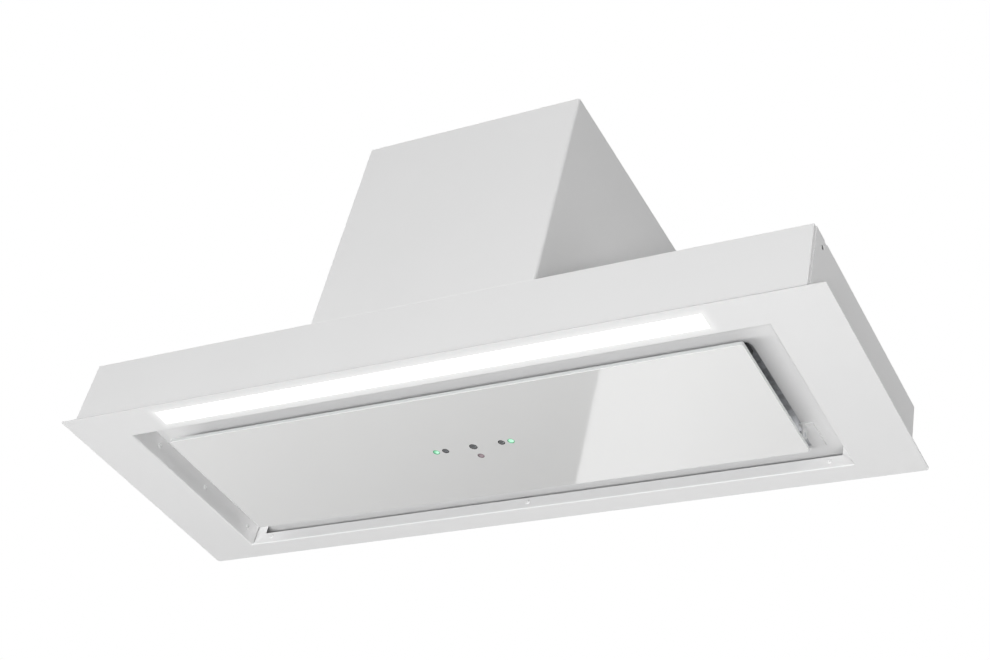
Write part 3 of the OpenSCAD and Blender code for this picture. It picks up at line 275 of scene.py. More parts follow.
class Signal:
    """A shader socket in a sum: each operator adds the Math node that works it out."""

    def __init__(self, recipe, socket):
        self.recipe = recipe
        self.socket = socket

    def worked(self, operation, first, second=0.0):
        """Result of one Math node on two values."""
        return self.recipe.node("Math", {"operation": operation}, {0: first, 1: second})

    def __add__(self, other):
        return self.worked("ADD", self, other)

    def __radd__(self, other):
        return self.worked("ADD", other, self)

    def __sub__(self, other):
        return self.worked("SUBTRACT", self, other)

    def __rsub__(self, other):
        return self.worked("SUBTRACT", other, self)

    def __mul__(self, other):
        return self.worked("MULTIPLY", self, other)

    def __rmul__(self, other):
        return self.worked("MULTIPLY", other, self)

    def __truediv__(self, other):
        return self.worked("DIVIDE", self, other)

    def __rtruediv__(self, other):
        return self.worked("DIVIDE", other, self)

    def __pow__(self, other):
        return self.worked("POWER", self, other)

    def __rpow__(self, other):
        return self.worked("POWER", other, self)

    def __abs__(self):
        return self.worked("ABSOLUTE", self)

    def __gt__(self, other):
        return self.worked("GREATER_THAN", self, other)

    def __lt__(self, other):
        return self.worked("LESS_THAN", self, other)

    def larger(self, other):
        """The larger of two values."""
        return self.worked("MAXIMUM", self, other)

    def smaller(self, other):
        """The smaller of two values."""
        return self.worked("MINIMUM", self, other)

    def fraction(self):
        """Part of the value after the point."""
        return self.worked("FRACT", self)

    def wave(self):
        """Triangle wave between 0 and 1, once for each whole number."""
        return abs(self.fraction() - 0.5) * 2.0

    def clamped(self):
        """The value kept between 0 and 1."""
        return self.recipe.node("Clamp", values={"Value": self})


class Recipe:
    """A procedural material, or the sky's nodes, in the making."""

    def __init__(self, name, kind="materials"):
        self.owner = getattr(bpy.data, kind).new(name)
        self.owner.use_nodes = True
        self.tree = self.owner.node_tree
        self.tree.nodes.clear()

    def node(self, kind, settings=None, values=None, out=0):
        """A new node of a type, with its settings made before its values and links."""
        made = self.tree.nodes.new("ShaderNode" + kind)
        for name, value in (settings or {}).items():
            setattr(made, name, value)
        for name, value in (values or {}).items():
            if isinstance(value, Signal):
                self.tree.links.new(value.socket, made.inputs[name])
            else:
                made.inputs[name].default_value = value
        return Signal(self, made.outputs[out]) if made.outputs else None

    def place(self, centre=ORIGIN, stretch=UNIT):
        """Object coordinates, counted from a centre and stretched."""
        return self.node("Mapping", {"vector_type": "POINT"},
                         {"Vector": self.node("TexCoord", out="Object"),
                          "Location": [-c * s for c, s in zip(centre, stretch)],
                          "Scale": stretch})

    def axes(self, wanted, centre=ORIGIN):
        """Object coordinates along the wanted axes as separate values."""
        spot = self.place(centre)
        return [self.node("SeparateXYZ", values={"Vector": spot}, out=axis) for axis in wanted]

    def noise(self, scale, detail=2.0, stretch=UNIT):
        """Soft noise from 0 to 1."""
        return self.node("TexNoise", values={"Vector": self.place(stretch=stretch),
                                             "Scale": scale, "Detail": detail})

    def cells(self, scale, out="Distance"):
        """Cells like crystals: how far their middles are, or a colour for each."""
        return self.node("TexVoronoi", values={"Vector": self.place(), "Scale": scale}, out=out)

    def blend(self, mask, first, second):
        """A colour between two colours."""
        pair = {"Factor": mask}
        for socket, shade in zip(MIX_COLOURS, (first, second)):
            pair[socket] = shade if isinstance(shade, Signal) else (*shade, 1.0)
        return self.node("Mix", {"data_type": "RGBA"}, pair, out=MIX_RESULT)

    def toned(self, mask, shade, darkest, palest):
        """A colour that changes between two shares of itself."""
        return self.blend(mask, shaded(shade, darkest), shaded(shade, palest))

    def from_nearest(self, spots, aside=(0.0, 0.0)):
        """Distance in plan to the nearest of some spots, each moved aside."""
        x, y = self.axes("XY")
        nearest = None
        for spot in spots:
            across, along = x - (spot.x + aside[0]), y - (spot.y + aside[1])
            gone = across * across + along * along
            nearest = nearest.smaller(gone) if nearest else gone
        return nearest ** 0.5

    def away(self, node, aside, start, rate):
        """0 over the middles of a node's rods, rising from a distance on to 1 round them."""
        spots = [rod.foot for rod in rods(node)]
        return ((self.from_nearest(spots, aside) - start) * rate).clamped()

    def bump(self, height, depth, strength):
        """Normal from a height between 0 and 1, which stands for a depth in metres."""
        return self.node("Bump", values={"Height": height, "Distance": depth, "Strength": strength})

    def finish(self, **sockets):
        """Closes the recipe with its surface and gives the material."""
        skin = self.node("BsdfPrincipled",
                         values={name.replace("_", " "): value for name, value in sockets.items()})
        self.node("OutputMaterial", values={"Surface": skin})
        return self.owner


def shaded(shade, factor):
    """A colour made darker or lighter."""
    return tuple(min(1.0, part * factor) for part in shade)


def powder_coat(recipe, colours):
    """Sockets of powder coat: fine orange peel, and a slight change of tone and gloss."""
    peel = recipe.noise(scale=1100)
    cloud = recipe.noise(scale=7, detail=3.0)
    return {"Base_Color": recipe.toned(cloud, colours.paint, darkest=0.975, palest=1.02),
            "Roughness": 0.36 + cloud * 0.12 + peel * 0.04,
            "Normal": recipe.bump(peel, depth=0.00002, strength=0.6)}


def white_paint(colours):
    """Powder coat."""
    recipe = Recipe("Powder coat")
    return recipe.finish(**powder_coat(recipe, colours))


def lit_paint(colours):
    """Powder coat of the face panel, with the light strip's soft glow painted round the strip as
    emission of the paint.
    """
    recipe = Recipe("Powder coat with painted glow")
    low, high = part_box("led_diffuser")
    x, y = recipe.axes("XY", box_middle("led_diffuser"))
    beside = (abs(x) - (high.x - low.x) / 2).larger(0.0)
    along = (abs(y) - (high.y - low.y) / 2).larger(0.0)
    distance = (beside * beside + along * along) ** 0.5
    # Painted glow: the paint emits the strip's colour, fading out within GLOW_REACH of the strip
    halo = (1.0 - distance * (1.0 / GLOW_REACH)).clamped()
    glow = recipe.blend(halo * halo, BLACK, colours.strip)
    return recipe.finish(Emission_Color=glow, Emission_Strength=GLOW_STRENGTH,
                         **powder_coat(recipe, colours))


def zinc_steel(colours):
    """Zinc coating with its spangle, dull in some crystals and bright in others."""
    recipe = Recipe("Zinc-coated steel")
    crystal = recipe.cells(scale=160.0, out="Color")
    shade = recipe.node("SeparateColor", values={"Color": crystal})
    dust = recipe.noise(scale=900)
    tone = recipe.toned(shade, colours.zinc, darkest=0.86, palest=1.12)
    return recipe.finish(Base_Color=tone, Metallic=1.0,
                         Roughness=0.42 + shade * 0.16 + dust * 0.06,
                         Normal=recipe.bump(dust, depth=0.00001, strength=0.4))


def aluminium(colours):
    """Drawn aluminium with fine lines along the piece."""
    recipe = Recipe("Drawn aluminium")
    lines = recipe.noise(scale=40, detail=3.0, stretch=(1.0, 40.0, 40.0))
    cloud = recipe.noise(scale=18)
    tone = recipe.toned(lines, colours.aluminium, darkest=0.88, palest=1.08)
    return recipe.finish(Base_Color=tone, Metallic=1.0,
                         Roughness=0.26 + lines * 0.12 + cloud * 0.08,
                         Normal=recipe.bump(lines, depth=0.00001, strength=0.5))


def moulding(colours):
    """Grey filled plastic with flow marks and a satin skin."""
    recipe = Recipe("Grey moulding")
    grain = recipe.noise(scale=1600)
    flow = recipe.noise(scale=12, detail=4.0, stretch=(1.0, 1.0, 2.5))
    tone = recipe.toned(flow, colours.moulding, darkest=0.85, palest=1.2)
    return recipe.finish(Base_Color=tone, Roughness=0.42 + grain * 0.14,
                         Normal=recipe.bump(grain, depth=0.00003, strength=0.6))


def dark_plastic(colours):
    """Dark plastic with a spark-eroded grain."""
    recipe = Recipe("Dark plastic")
    grain = recipe.cells(scale=1500.0)
    cloud = recipe.noise(scale=20)
    tone = recipe.toned(cloud, colours.plastic, darkest=0.8, palest=1.35)
    return recipe.finish(Base_Color=tone, Roughness=0.48 + cloud * 0.12,
                         Normal=recipe.bump(grain, depth=0.00004, strength=0.5))


def stator_steel(colours):
    """Stacked laminations: fine lines across the stack, with a little oil stain."""
    recipe = Recipe("Laminated steel")
    x, = recipe.axes("X")
    sheet = (x * LAMINATIONS).wave()
    stain = recipe.noise(scale=60, detail=3.0)
    tone = recipe.blend(sheet * 0.6 + stain * 0.4, *STACK_TONES)
    return recipe.finish(Base_Color=tone, Metallic=0.9, Roughness=0.38 + stain * 0.15,
                         Normal=recipe.bump(sheet, depth=0.00005, strength=0.7))


def copper(colours):
    """Enamelled winding wire, laid in turns."""
    recipe = Recipe("Winding wire")
    x, = recipe.axes("X")
    waver = recipe.noise(scale=90, detail=1.0) * 1.5
    turn = (x * WIRE_TURNS + waver).wave()
    return recipe.finish(Base_Color=recipe.blend(turn, *WIRE_TONES), Metallic=0.85,
                         Roughness=0.42 - turn * 0.12,
                         Normal=recipe.bump(turn, depth=0.0002, strength=0.8))


def rubber(colours):
    """Black rubber with a dull bloom."""
    recipe = Recipe("Rubber")
    bloom = recipe.noise(scale=70, detail=4.0)
    grain = recipe.noise(scale=1300)
    return recipe.finish(Base_Color=recipe.blend(bloom, *RUBBER_TONES),
                         Roughness=0.68 + bloom * 0.2,
                         Normal=recipe.bump(grain, depth=0.00004, strength=0.6))


def board(colours):
    """Circuit board: solder mask over tracks, with tinned pads."""
    recipe = Recipe("Circuit board")
    track = recipe.node("TexBrick", {"offset": 0.35},
                        {"Vector": recipe.place(), "Scale": 220.0, "Mortar Size": 0.06,
                         "Color1": (*BLACK, 1.0), "Color2": (0.1, 0.1, 0.1, 1.0),
                         "Mortar": OPAQUE_WHITE}, out="Fac")
    pad = recipe.cells(scale=260.0) < PAD_REACH
    tone = recipe.blend(pad, recipe.blend(track, *MASK_TONES), PAD_TONE)
    return recipe.finish(Base_Color=tone, Metallic=pad * 0.9, Roughness=0.3 + track * 0.12,
                         Normal=recipe.bump(track.larger(pad), depth=0.00004, strength=0.6))


def light_board(colours):
    """White board of the light strip with its yellow light diodes."""
    recipe = Recipe("Light board")
    x, y = recipe.axes("XY", box_middle("led_board"))
    chip = (abs((x * DIODES).fraction() - 0.5) < DIODE_SHARE) * (abs(y) < DIODE_HALF)
    white = recipe.blend(recipe.noise(scale=200), *LIGHT_BOARD_TONES)
    tone = recipe.blend(chip, white, DIODE_TONE)
    return recipe.finish(Base_Color=tone, Roughness=0.45 - chip * 0.2,
                         Normal=recipe.bump(chip, depth=0.0003, strength=0.8))


def diffuser(colours):
    """Opal cover, lit from behind and a little weaker towards its ends."""
    recipe = Recipe("Opal cover")
    x, = recipe.axes("X", box_middle("led_diffuser"))
    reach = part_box("led_diffuser")[1].x
    falloff = ((abs(x) - reach * (1.0 - STRIP_FADE)) / (reach * STRIP_FADE)).clamped()
    haze = recipe.noise(scale=500)
    tone = recipe.toned(haze, colours.strip, darkest=0.86, palest=0.92)
    glow = recipe.blend(falloff, colours.strip, shaded(colours.strip, 0.86))
    return recipe.finish(Base_Color=tone, Roughness=0.42 + haze * 0.1, Emission_Color=glow,
                         Emission_Strength=bpy.context.scene.hood_studio.strip_glow,
                         Normal=recipe.bump(haze, depth=0.00002, strength=0.5))


def white_glass(colours):
    """Glass painted white from behind, with a greenish polished edge and printed rings."""
    recipe = Recipe("White glass")
    sizes = bpy.context.scene.hood_sizes
    high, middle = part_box("glass_panel")[1], box_middle("glass_panel")
    x, y = recipe.axes("XY", middle)
    inside = sizes.glass_edge * 0.5
    rim = (abs(x) > high.x - middle.x - inside).larger(abs(y) > high.y - middle.y - inside)
    white = recipe.toned(recipe.noise(scale=4), colours.glass, darkest=0.985, palest=1.015)
    tone = recipe.blend(rim, white, colours.glass_rim)
    row = rods("sensor_windows")
    prints = ((row[1:-1], colours.dark_window), ((row[0], row[-1]), colours.lit_window),
              (rods("remote_window"), shaded(colours.red_window, 0.6)))
    for group, shade in prints:
        for rod in group:
            ring = recipe.from_nearest([rod.foot]) < rod.radius + sizes.print_lap
            tone = recipe.blend(ring, tone, shade)
    smear = recipe.noise(scale=26, detail=5.0)
    return recipe.finish(Base_Color=tone, Roughness=0.5, IOR=1.5, Specular_IOR_Level=0.0,
                         Coat_Weight=1.0, Coat_IOR=1.52, Coat_Roughness=0.035,
                         Normal=recipe.bump(smear, depth=0.000002, strength=0.3))


def dark_window(colours):
    """Smoked window over a sensor: dark at its rim, with a painted sheen that makes it lighter
    beside its middle.
    """
    recipe = Recipe("Smoked window")
    rim = recipe.away("sensor_windows", aside=(0.0006, 0.0006), start=0.0012, rate=700.0)
    haze = recipe.noise(scale=240, detail=3.0)
    # Painted sheen: four times lighter over a spot beside each middle, falling to the dark colour
    # at the rim
    tone = recipe.blend(rim * 0.85 + haze * 0.15, shaded(colours.dark_window, 4.0),
                        colours.dark_window)
    return recipe.finish(Base_Color=tone, Roughness=0.16 + haze * 0.08, IOR=1.5,
                         Coat_Weight=1.0, Coat_Roughness=0.04)


def red_window(colours):
    """Receiver's window: mauve-grey with a darker ring."""
    recipe = Recipe("Receiver window")
    ring = recipe.away("remote_window", aside=(0.0003, 0.0003), start=0.0015, rate=800.0)
    haze = recipe.noise(scale=300, detail=3.0)
    tone = recipe.blend(ring * 0.9 + haze * 0.1, shaded(colours.red_window, 1.1),
                        shaded(colours.red_window, 0.45))
    return recipe.finish(Base_Color=tone, Roughness=0.16 + ring * 0.1,
                         Coat_Weight=1.0, Coat_Roughness=0.04)


def lit_window(colours):
    """Window over a lit indicator: green, with a painted, nearly white hot spot of its light beside
    its middle.
    """
    recipe = Recipe("Lit window")
    x, = recipe.axes("X")
    rim = recipe.away("sensor_windows", aside=(0.0011, 0.0009), start=0.0012, rate=380.0)
    # Painted hot spot: nearly white beside the middle, and over most of a window right of the
    # hood's middle, green towards the rim; the glow is the indicator's own light
    tone = recipe.blend(rim * (1.0 - (x > 0.0) * 0.7), PAINTED_HOT_SPOT, colours.lit_window)
    return recipe.finish(Base_Color=tone, Roughness=0.2 + rim * 0.1, Coat_Weight=1.0,
                         Coat_Roughness=0.05, Emission_Color=tone, Emission_Strength=0.3)


FINISHES = {make.__name__: make for make in (
    white_paint, lit_paint, zinc_steel, aluminium, moulding, dark_plastic, stator_steel, copper,
    rubber, board, light_board, diffuser, white_glass, dark_window, red_window, lit_window)}
MADE = {}


def finish(name):
    """The material of a finish, made once."""
    if name not in MADE:
        MADE[name] = FINISHES[name](bpy.context.scene.hood_colours)
    return MADE[name]


# Shapes

def box_middle(node):
    """Middle of a node's box at rest."""
    low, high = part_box(node)
    return (low + high) / 2


def joined(node):
    """A node's triangles as one merged mesh, its flat areas turned back into single faces."""
    mesh = bmesh.new()
    mesh.from_mesh(NODES[node].data)
    merged(mesh)
    return mesh


def merged(mesh):
    """Merges a mesh's equal vertices and turns its flat areas into single faces."""
    bmesh.ops.remove_doubles(mesh, verts=mesh.verts, dist=MERGE)
    bmesh.ops.dissolve_limit(mesh, angle_limit=radians(FLAT_TURN), verts=mesh.verts,
                             edges=mesh.edges)


def corners(mesh):
    """Outward edges of a mesh that turn sharply."""
    return [edge for edge in mesh.edges
            if edge.is_manifold and edge.is_convex
            and edge.calc_face_angle() > radians(CORNER_TURN)]


def rounded(mesh, edges, width, steps=EDGE_FACES):
    """Rounds some edges of a mesh."""
    bmesh.ops.bevel(mesh, geom=edges, offset=width, offset_type="OFFSET", segments=steps,
                    profile=0.5, affect="EDGES", material=-1, clamp_overlap=False,
                    miter_outer="SHARP", miter_inner="SHARP")


def loose_parts(mesh):
    """Vertices of each loose part of a mesh, in the mesh's order."""
    seen = set()
    for start in mesh.verts:
        if start in seen:
            continue
        seen.add(start)
        part = [start]
        for vertex in part:
            for link in vertex.link_edges:
                other = link.other_vert(vertex)
                if other not in seen:
                    seen.add(other)
                    part.append(other)
        yield part


def extent(part):
    """Lowest and highest corner of some vertices."""
    return [Vector([pick(v.co[axis] for v in part) for axis in range(3)]) for pick in (min, max)]


def rods(node):
    """Foot, radius and height of each upright rod of a node, from left to right."""
    mesh = joined(node)
    found = []
    for part in loose_parts(mesh):
        low, high = extent(part)
        middle = (low + high) / 2
        found.append(Rod(Vector((middle.x, middle.y, low.z)), (high.x - low.x) / 2,
                         high.z - low.z))
    mesh.free()
    return sorted(found, key=lambda rod: rod.foot.x)


def turned(outline, steps):
    """A closed shape spun from an outline of (radius, height) that starts and ends on the axis
    or closes on itself."""
    mesh = bmesh.new()
    line = [mesh.verts.new((r, 0.0, h)) for r, h in outline]
    pairs = list(zip(line, line[1:]))
    if outline[0][0] > 0.0:
        pairs.append((line[-1], line[0]))
    edges = [mesh.edges.new(pair) for pair in pairs]
    bmesh.ops.spin(mesh, geom=line + edges, axis=(0, 0, 1), cent=(0, 0, 0), angle=tau, steps=steps,
                   use_merge=True)
    bmesh.ops.remove_doubles(mesh, verts=mesh.verts, dist=MERGE)
    bmesh.ops.recalc_face_normals(mesh, faces=mesh.faces)
    return mesh


def put(mesh, part, matrix=Matrix()):
    """Adds a part's faces to a mesh, placed by a matrix."""
    part.transform(matrix)
    bmesh.ops.recalc_face_normals(part, faces=part.faces)
    data = bpy.data.meshes.new("part")
    part.to_mesh(data)
    part.free()
    mesh.from_mesh(data)
    bpy.data.meshes.remove(data)


def facing(axis, sign, spot):
    """Places a piece made along +Z so that it points along an axis from a spot."""
    ahead = Vector(ORIGIN)
    ahead[axis] = sign
    return Matrix.Translation(spot) @ ahead.to_track_quat("Z", "Y").to_matrix().to_4x4()


def even_normals(mesh):
    """Normals of a mesh's corners: large faces stay flat and only the roundings turn."""
    mesh.faces.index_update()
    mesh.normal_update()
    areas = [face.calc_area() for face in mesh.faces]
    limit = cos(radians(SMOOTH_TURN))
    normals = []
    for face in mesh.faces:
        for loop in face.loops:
            total = Vector()
            for near in loop.vert.link_faces:
                if near.normal.dot(face.normal) > limit:
                    total += near.normal * areas[near.index]
            normals.append(total.normalized() if total.length > NO_AREA else face.normal.copy())
    return normals


def show(name, mesh, surface, node, slot=None, instead=True):
    """Makes a finished piece that rides on a node's body and, as a rule, stands for the node."""
    for face in mesh.faces:
        face.smooth = True
    normals = even_normals(mesh)
    data = bpy.data.meshes.new(name)
    mesh.to_mesh(data)
    mesh.free()
    data.normals_split_custom_set(normals)
    data.materials.append(surface)
    made = bpy.data.objects.new(name, data)
    bpy.context.scene.collection.objects.link(made)
    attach(made, body_of(NODES[node])[0])
    slot or FINISH_OF[node]
    if instead:
        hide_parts(node)


def edged(node, width, steps=EDGE_FACES, surface=None, before=None, shortest=0.0):
    """Stands for a node with a copy whose outer edges are rounded, apart from the shortest."""
    mesh = joined(node)
    if before:
        before(mesh)
    rounded(mesh, [edge for edge in corners(mesh) if edge.calc_length() > shortest], width, steps)
    show(node + "_edged", mesh, finish(surface or FINISH_OF[node]), node)


# Operators, one for each piece or group of like pieces

class HOOD_OT_face_panel(bpy.types.Operator):
    """Face panel with its folded recess"""
    bl_idname = "hood.face_panel"
    bl_label = "Face panel"

    def execute(self, context):
        sizes = context.scene.hood_sizes
        edged("face_panel", sizes.sheet_edge, surface="lit_paint", before=self.folds)
        self.corner_seams(sizes.seam_r)
        return {"FINISHED"}

    def folds(self, mesh):
        """Rounds the folds round the recess's mouth, then the flange's outer edges."""
        sizes = bpy.context.scene.hood_sizes
        low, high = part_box("face_panel")
        least = (high.x - low.x) * FOLD_LENGTH
        mouth = [edge for edge in corners(mesh)
                 if edge.calc_length() > least
                 and all(abs(v.co.z - low.z) < SAME and abs(v.co.x) < high.x * MOUTH_SIDE
                         and low.y * MOUTH_FRONT < v.co.y < high.y * MOUTH_REAR
                         for v in edge.verts)]
        rounded(mesh, mouth, sizes.fold_r, FOLD_FACES)
        outer = [edge for edge in corners(mesh)
                 if all(abs(v.co.x) > high.x - SAME for v in edge.verts)
                 or all(v.co.y > high.y - SAME or v.co.y < low.y + SAME for v in edge.verts)]
        rounded(mesh, outer, sizes.flange_edge, FOLD_FACES)

    def corner_seams(self, r):
        """Filled seams at the recess's rear corners, where its side and rear edges meet."""
        source = joined("face_panel")
        top = max(v.co.z for v in source.verts)
        wall = [v.co.copy() for v in source.verts if v.co.z > top - SAME]
        source.free()
        inner, outer = min(abs(spot.x) for spot in wall), max(abs(spot.x) for spot in wall)
        rear = max(spot.y for spot in wall)
        thick = outer - inner
        size = Vector((thick + r, thick + r, top - thick))
        mesh = bmesh.new()
        for side in (-1.0, 1.0):
            middle = Vector((side * (outer + inner - r) / 2, rear + (thick - r) / 2,
                             (top + thick) / 2))
            post = bmesh.new()
            bmesh.ops.create_cube(post, size=1.0, matrix=(Matrix.Translation(middle)
                                                          @ Matrix.Diagonal(size).to_4x4()))
            rounded(post, corners(post), r)
            put(mesh, post)
        show("corner_seams", mesh, finish("white_paint"), "face_panel", instead=False)


class HOOD_OT_body_sheets(bpy.types.Operator):
    """Body and motor tower sheets with their cut edges rounded"""
    bl_idname = "hood.body_sheets"
    bl_label = "Body and tower"

    def execute(self, context):
        sizes = context.scene.hood_sizes
        edged("body_front_sheet", sizes.sheet_edge, before=self.square_corners)
        for node in PLAIN_SHEETS:
            edged(node, sizes.sheet_edge)
        return {"FINISHED"}

    def square_corners(self, mesh):
        """Draws the outside of the front sheet's bends out to square corners."""
        side, front = max(v.co.x for v in mesh.verts), min(v.co.y for v in mesh.verts)
        r = side - max(v.co.x for v in mesh.verts if v.co.y < front + SAME)
        for v in mesh.verts:
            across, along = r - (side - abs(v.co.x)), r - (v.co.y - front)
            if min(across, along) > SAME and across ** 2 + along ** 2 > (r * BEND_OUTSIDE) ** 2:
                v.co.x, v.co.y = (side if v.co.x > 0.0 else -side), front
        merged(mesh)


class HOOD_OT_glass_panel(bpy.types.Operator):
    """Glass panel with its polished edge, its frame and the sensors' housing"""
    bl_idname = "hood.glass_panel"
    bl_label = "Glass panel"

    def execute(self, context):
        sizes = context.scene.hood_sizes
        edged("glass_panel", sizes.glass_edge, WIDE_EDGE_FACES, shortest=GLASS_SHORTEST)
        edged("panel_frame", sizes.sheet_edge)
        edged("sensor_housing", sizes.plastic_edge)
        return {"FINISHED"}


class HOOD_OT_windows(bpy.types.Operator):
    """Domed windows over the sensors, the indicators and the receiver"""
    bl_idname = "hood.windows"
    bl_label = "Windows"

    def execute(self, context):
        dip = context.scene.hood_sizes.lens_dip
        dark, lit, receiver = bmesh.new(), bmesh.new(), bmesh.new()
        row = rods("sensor_windows")
        for rod in row:
            self.lens(lit if rod in (row[0], row[-1]) else dark, rod, dip)
        for rod in rods("remote_window"):
            self.lens(receiver, rod, dip)
        show("smoked_windows", dark, finish("dark_window"), "sensor_windows")
        show("lit_windows", lit, finish("lit_window"), "sensor_windows")
        show("receiver_window", receiver, finish("red_window"), "remote_window")
        return {"FINISHED"}

    def lens(self, mesh, rod, dip):
        """Adds a rod whose seen end is slightly domed."""
        dome = [(rod.radius * out, dip * down) for out, down in LENS_PROFILE]
        outline = [(0.0, LENS_MIDDLE), *dome, (rod.radius, rod.height), (0.0, rod.height)]
        put(mesh, turned(outline, LENS_STEPS), Matrix.Translation(rod.foot))


class HOOD_OT_light_strip(bpy.types.Operator):
    """Light strip's opal cover and its channel"""
    bl_idname = "hood.light_strip"
    bl_label = "Light strip"

    def execute(self, context):
        sizes = context.scene.hood_sizes
        edged("led_diffuser", sizes.strip_edge, WIDE_EDGE_FACES)
        edged("led_channel", sizes.sheet_edge)
        return {"FINISHED"}


class HOOD_OT_fasteners(bpy.types.Operator):
    """Rivets of the recess, and screws of the tower and collar"""
    bl_idname = "hood.fasteners"
    bl_label = "Rivets and screws"

    def execute(self, context):
        pit = context.scene.hood_sizes.rivet_pit
        self.replace("panel_rivets", "blind_rivets", pit, RIVET_STEPS, "white_paint")
        self.replace("casing_screws", "tower_screws", pit * 2, SCREW_STEPS, "zinc_steel")
        return {"FINISHED"}

    def replace(self, node, name, pit, steps, surface):
        """Turns a head with a pit on each fastener of a node."""
        source = joined(node)
        made = bmesh.new()
        for part in loose_parts(source):
            low, high = extent(part)
            size = high - low
            axis = min(range(3), key=lambda i: abs(size[(i + 1) % 3] - size[(i + 2) % 3]))
            spot = (low + high) / 2
            reach = self.reach(part, axis, spot)
            # A head starts where the piece is widest, and a nut, wide all over, at its upper end
            base = max(reach, key=lambda step: (reach[step], step))
            sign = 1.0 if abs(high[axis] - base) < abs(base - low[axis]) else -1.0
            top, foot = (high[axis], low[axis]) if sign > 0 else (low[axis], high[axis])
            spot[axis] = base
            outline = self.head(reach[base], abs(top - base), reach[round(foot, STEP_DIGITS)],
                                abs(base - foot), pit)
            put(made, turned(outline, steps), facing(axis, sign, spot))
        source.free()
        show(name, made, finish(surface), node, slot=surface)

    def reach(self, part, axis, middle):
        """Radius of a fastener at each step along its axis."""
        found = {}
        for v in part:
            out = v.co - middle
            out[axis] = 0.0
            step = round(v.co[axis], STEP_DIGITS)
            found[step] = max(found.get(step, 0.0), out.length)
        return found

    def head(self, r, height, shank_r, shank, pit):
        """Outline of a head with a pit, on its shank."""
        dome = [(r * out, height * up) for out, up in HEAD_PROFILE]
        return [(0.0, height - pit), (r * PIT_RADIUS, height - pit), *dome,
                (shank_r, 0.0), (shank_r, -shank), (0.0, -shank)]


class HOOD_OT_outlet(bpy.types.Operator):
    """Duct collar with its bead, and the two flaps"""
    bl_idname = "hood.outlet"
    bl_label = "Outlet"

    def execute(self, context):
        sizes = context.scene.hood_sizes
        for node in ("outlet_collar", "flap_front", "flap_rear"):
            edged(node, sizes.plastic_edge)
        self.bead(sizes.bead_rise)
        return {"FINISHED"}

    def bead(self, rise):
        """Round bead that keeps the duct's clip on the collar."""
        low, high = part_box("outlet_collar")
        source = joined("outlet_collar")
        centre = (low + high) / 2
        rim = max((v.co.xy - centre.xy).length for v in source.verts if v.co.z > high.z - SAME)
        source.free()
        up = low.z + (high.z - low.z) * BEAD_UP
        foot = rim - rise * BEAD_SINK
        swell = [(rim + rise * cos(turn), rise * BEAD_SWELL * sin(turn)) for turn in BEAD_TURNS]
        outline = [(foot, -rise * BEAD_FOOT), *swell, (foot, rise * BEAD_FOOT)]
        ring = bmesh.new()
        put(ring, turned(outline, BEAD_STEPS), Matrix.Translation((centre.x, centre.y, up)))
        show("collar_bead", ring, finish("moulding"), "outlet_collar", instead=False)


class HOOD_OT_hinges(bpy.types.Operator):
    """Panel hinges, catches and strikers"""
    bl_idname = "hood.hinges"
    bl_label = "Hinges and catches"

    def execute(self, context):
        sizes = context.scene.hood_sizes
        edged("hinge_brackets", sizes.sheet_edge, surface="white_paint")
        for node in ("hinge_arms", "strikers"):
            edged(node, sizes.sheet_edge)
        edged("catch_bodies", sizes.plastic_edge)
        return {"FINISHED"}


class HOOD_OT_filters(bpy.types.Operator):
    """Filter frames and latches"""
    bl_idname = "hood.filters"
    bl_label = "Grease filters"

    def execute(self, context):
        sizes = context.scene.hood_sizes
        for side in ("left", "right"):
            edged("filter_frame_" + side, sizes.sheet_edge)
            edged("filter_latch_" + side, sizes.plastic_edge)
        return {"FINISHED"}


class HOOD_OT_finishes(bpy.types.Operator):
    """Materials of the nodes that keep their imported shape"""
    bl_idname = "hood.finishes"
    bl_label = "Finishes"

    def execute(self, context):
        for name, node in NODES.items():
            for place in node.material_slots:
                place.material = finish(FINISH_OF[name])
        return {"FINISHED"}


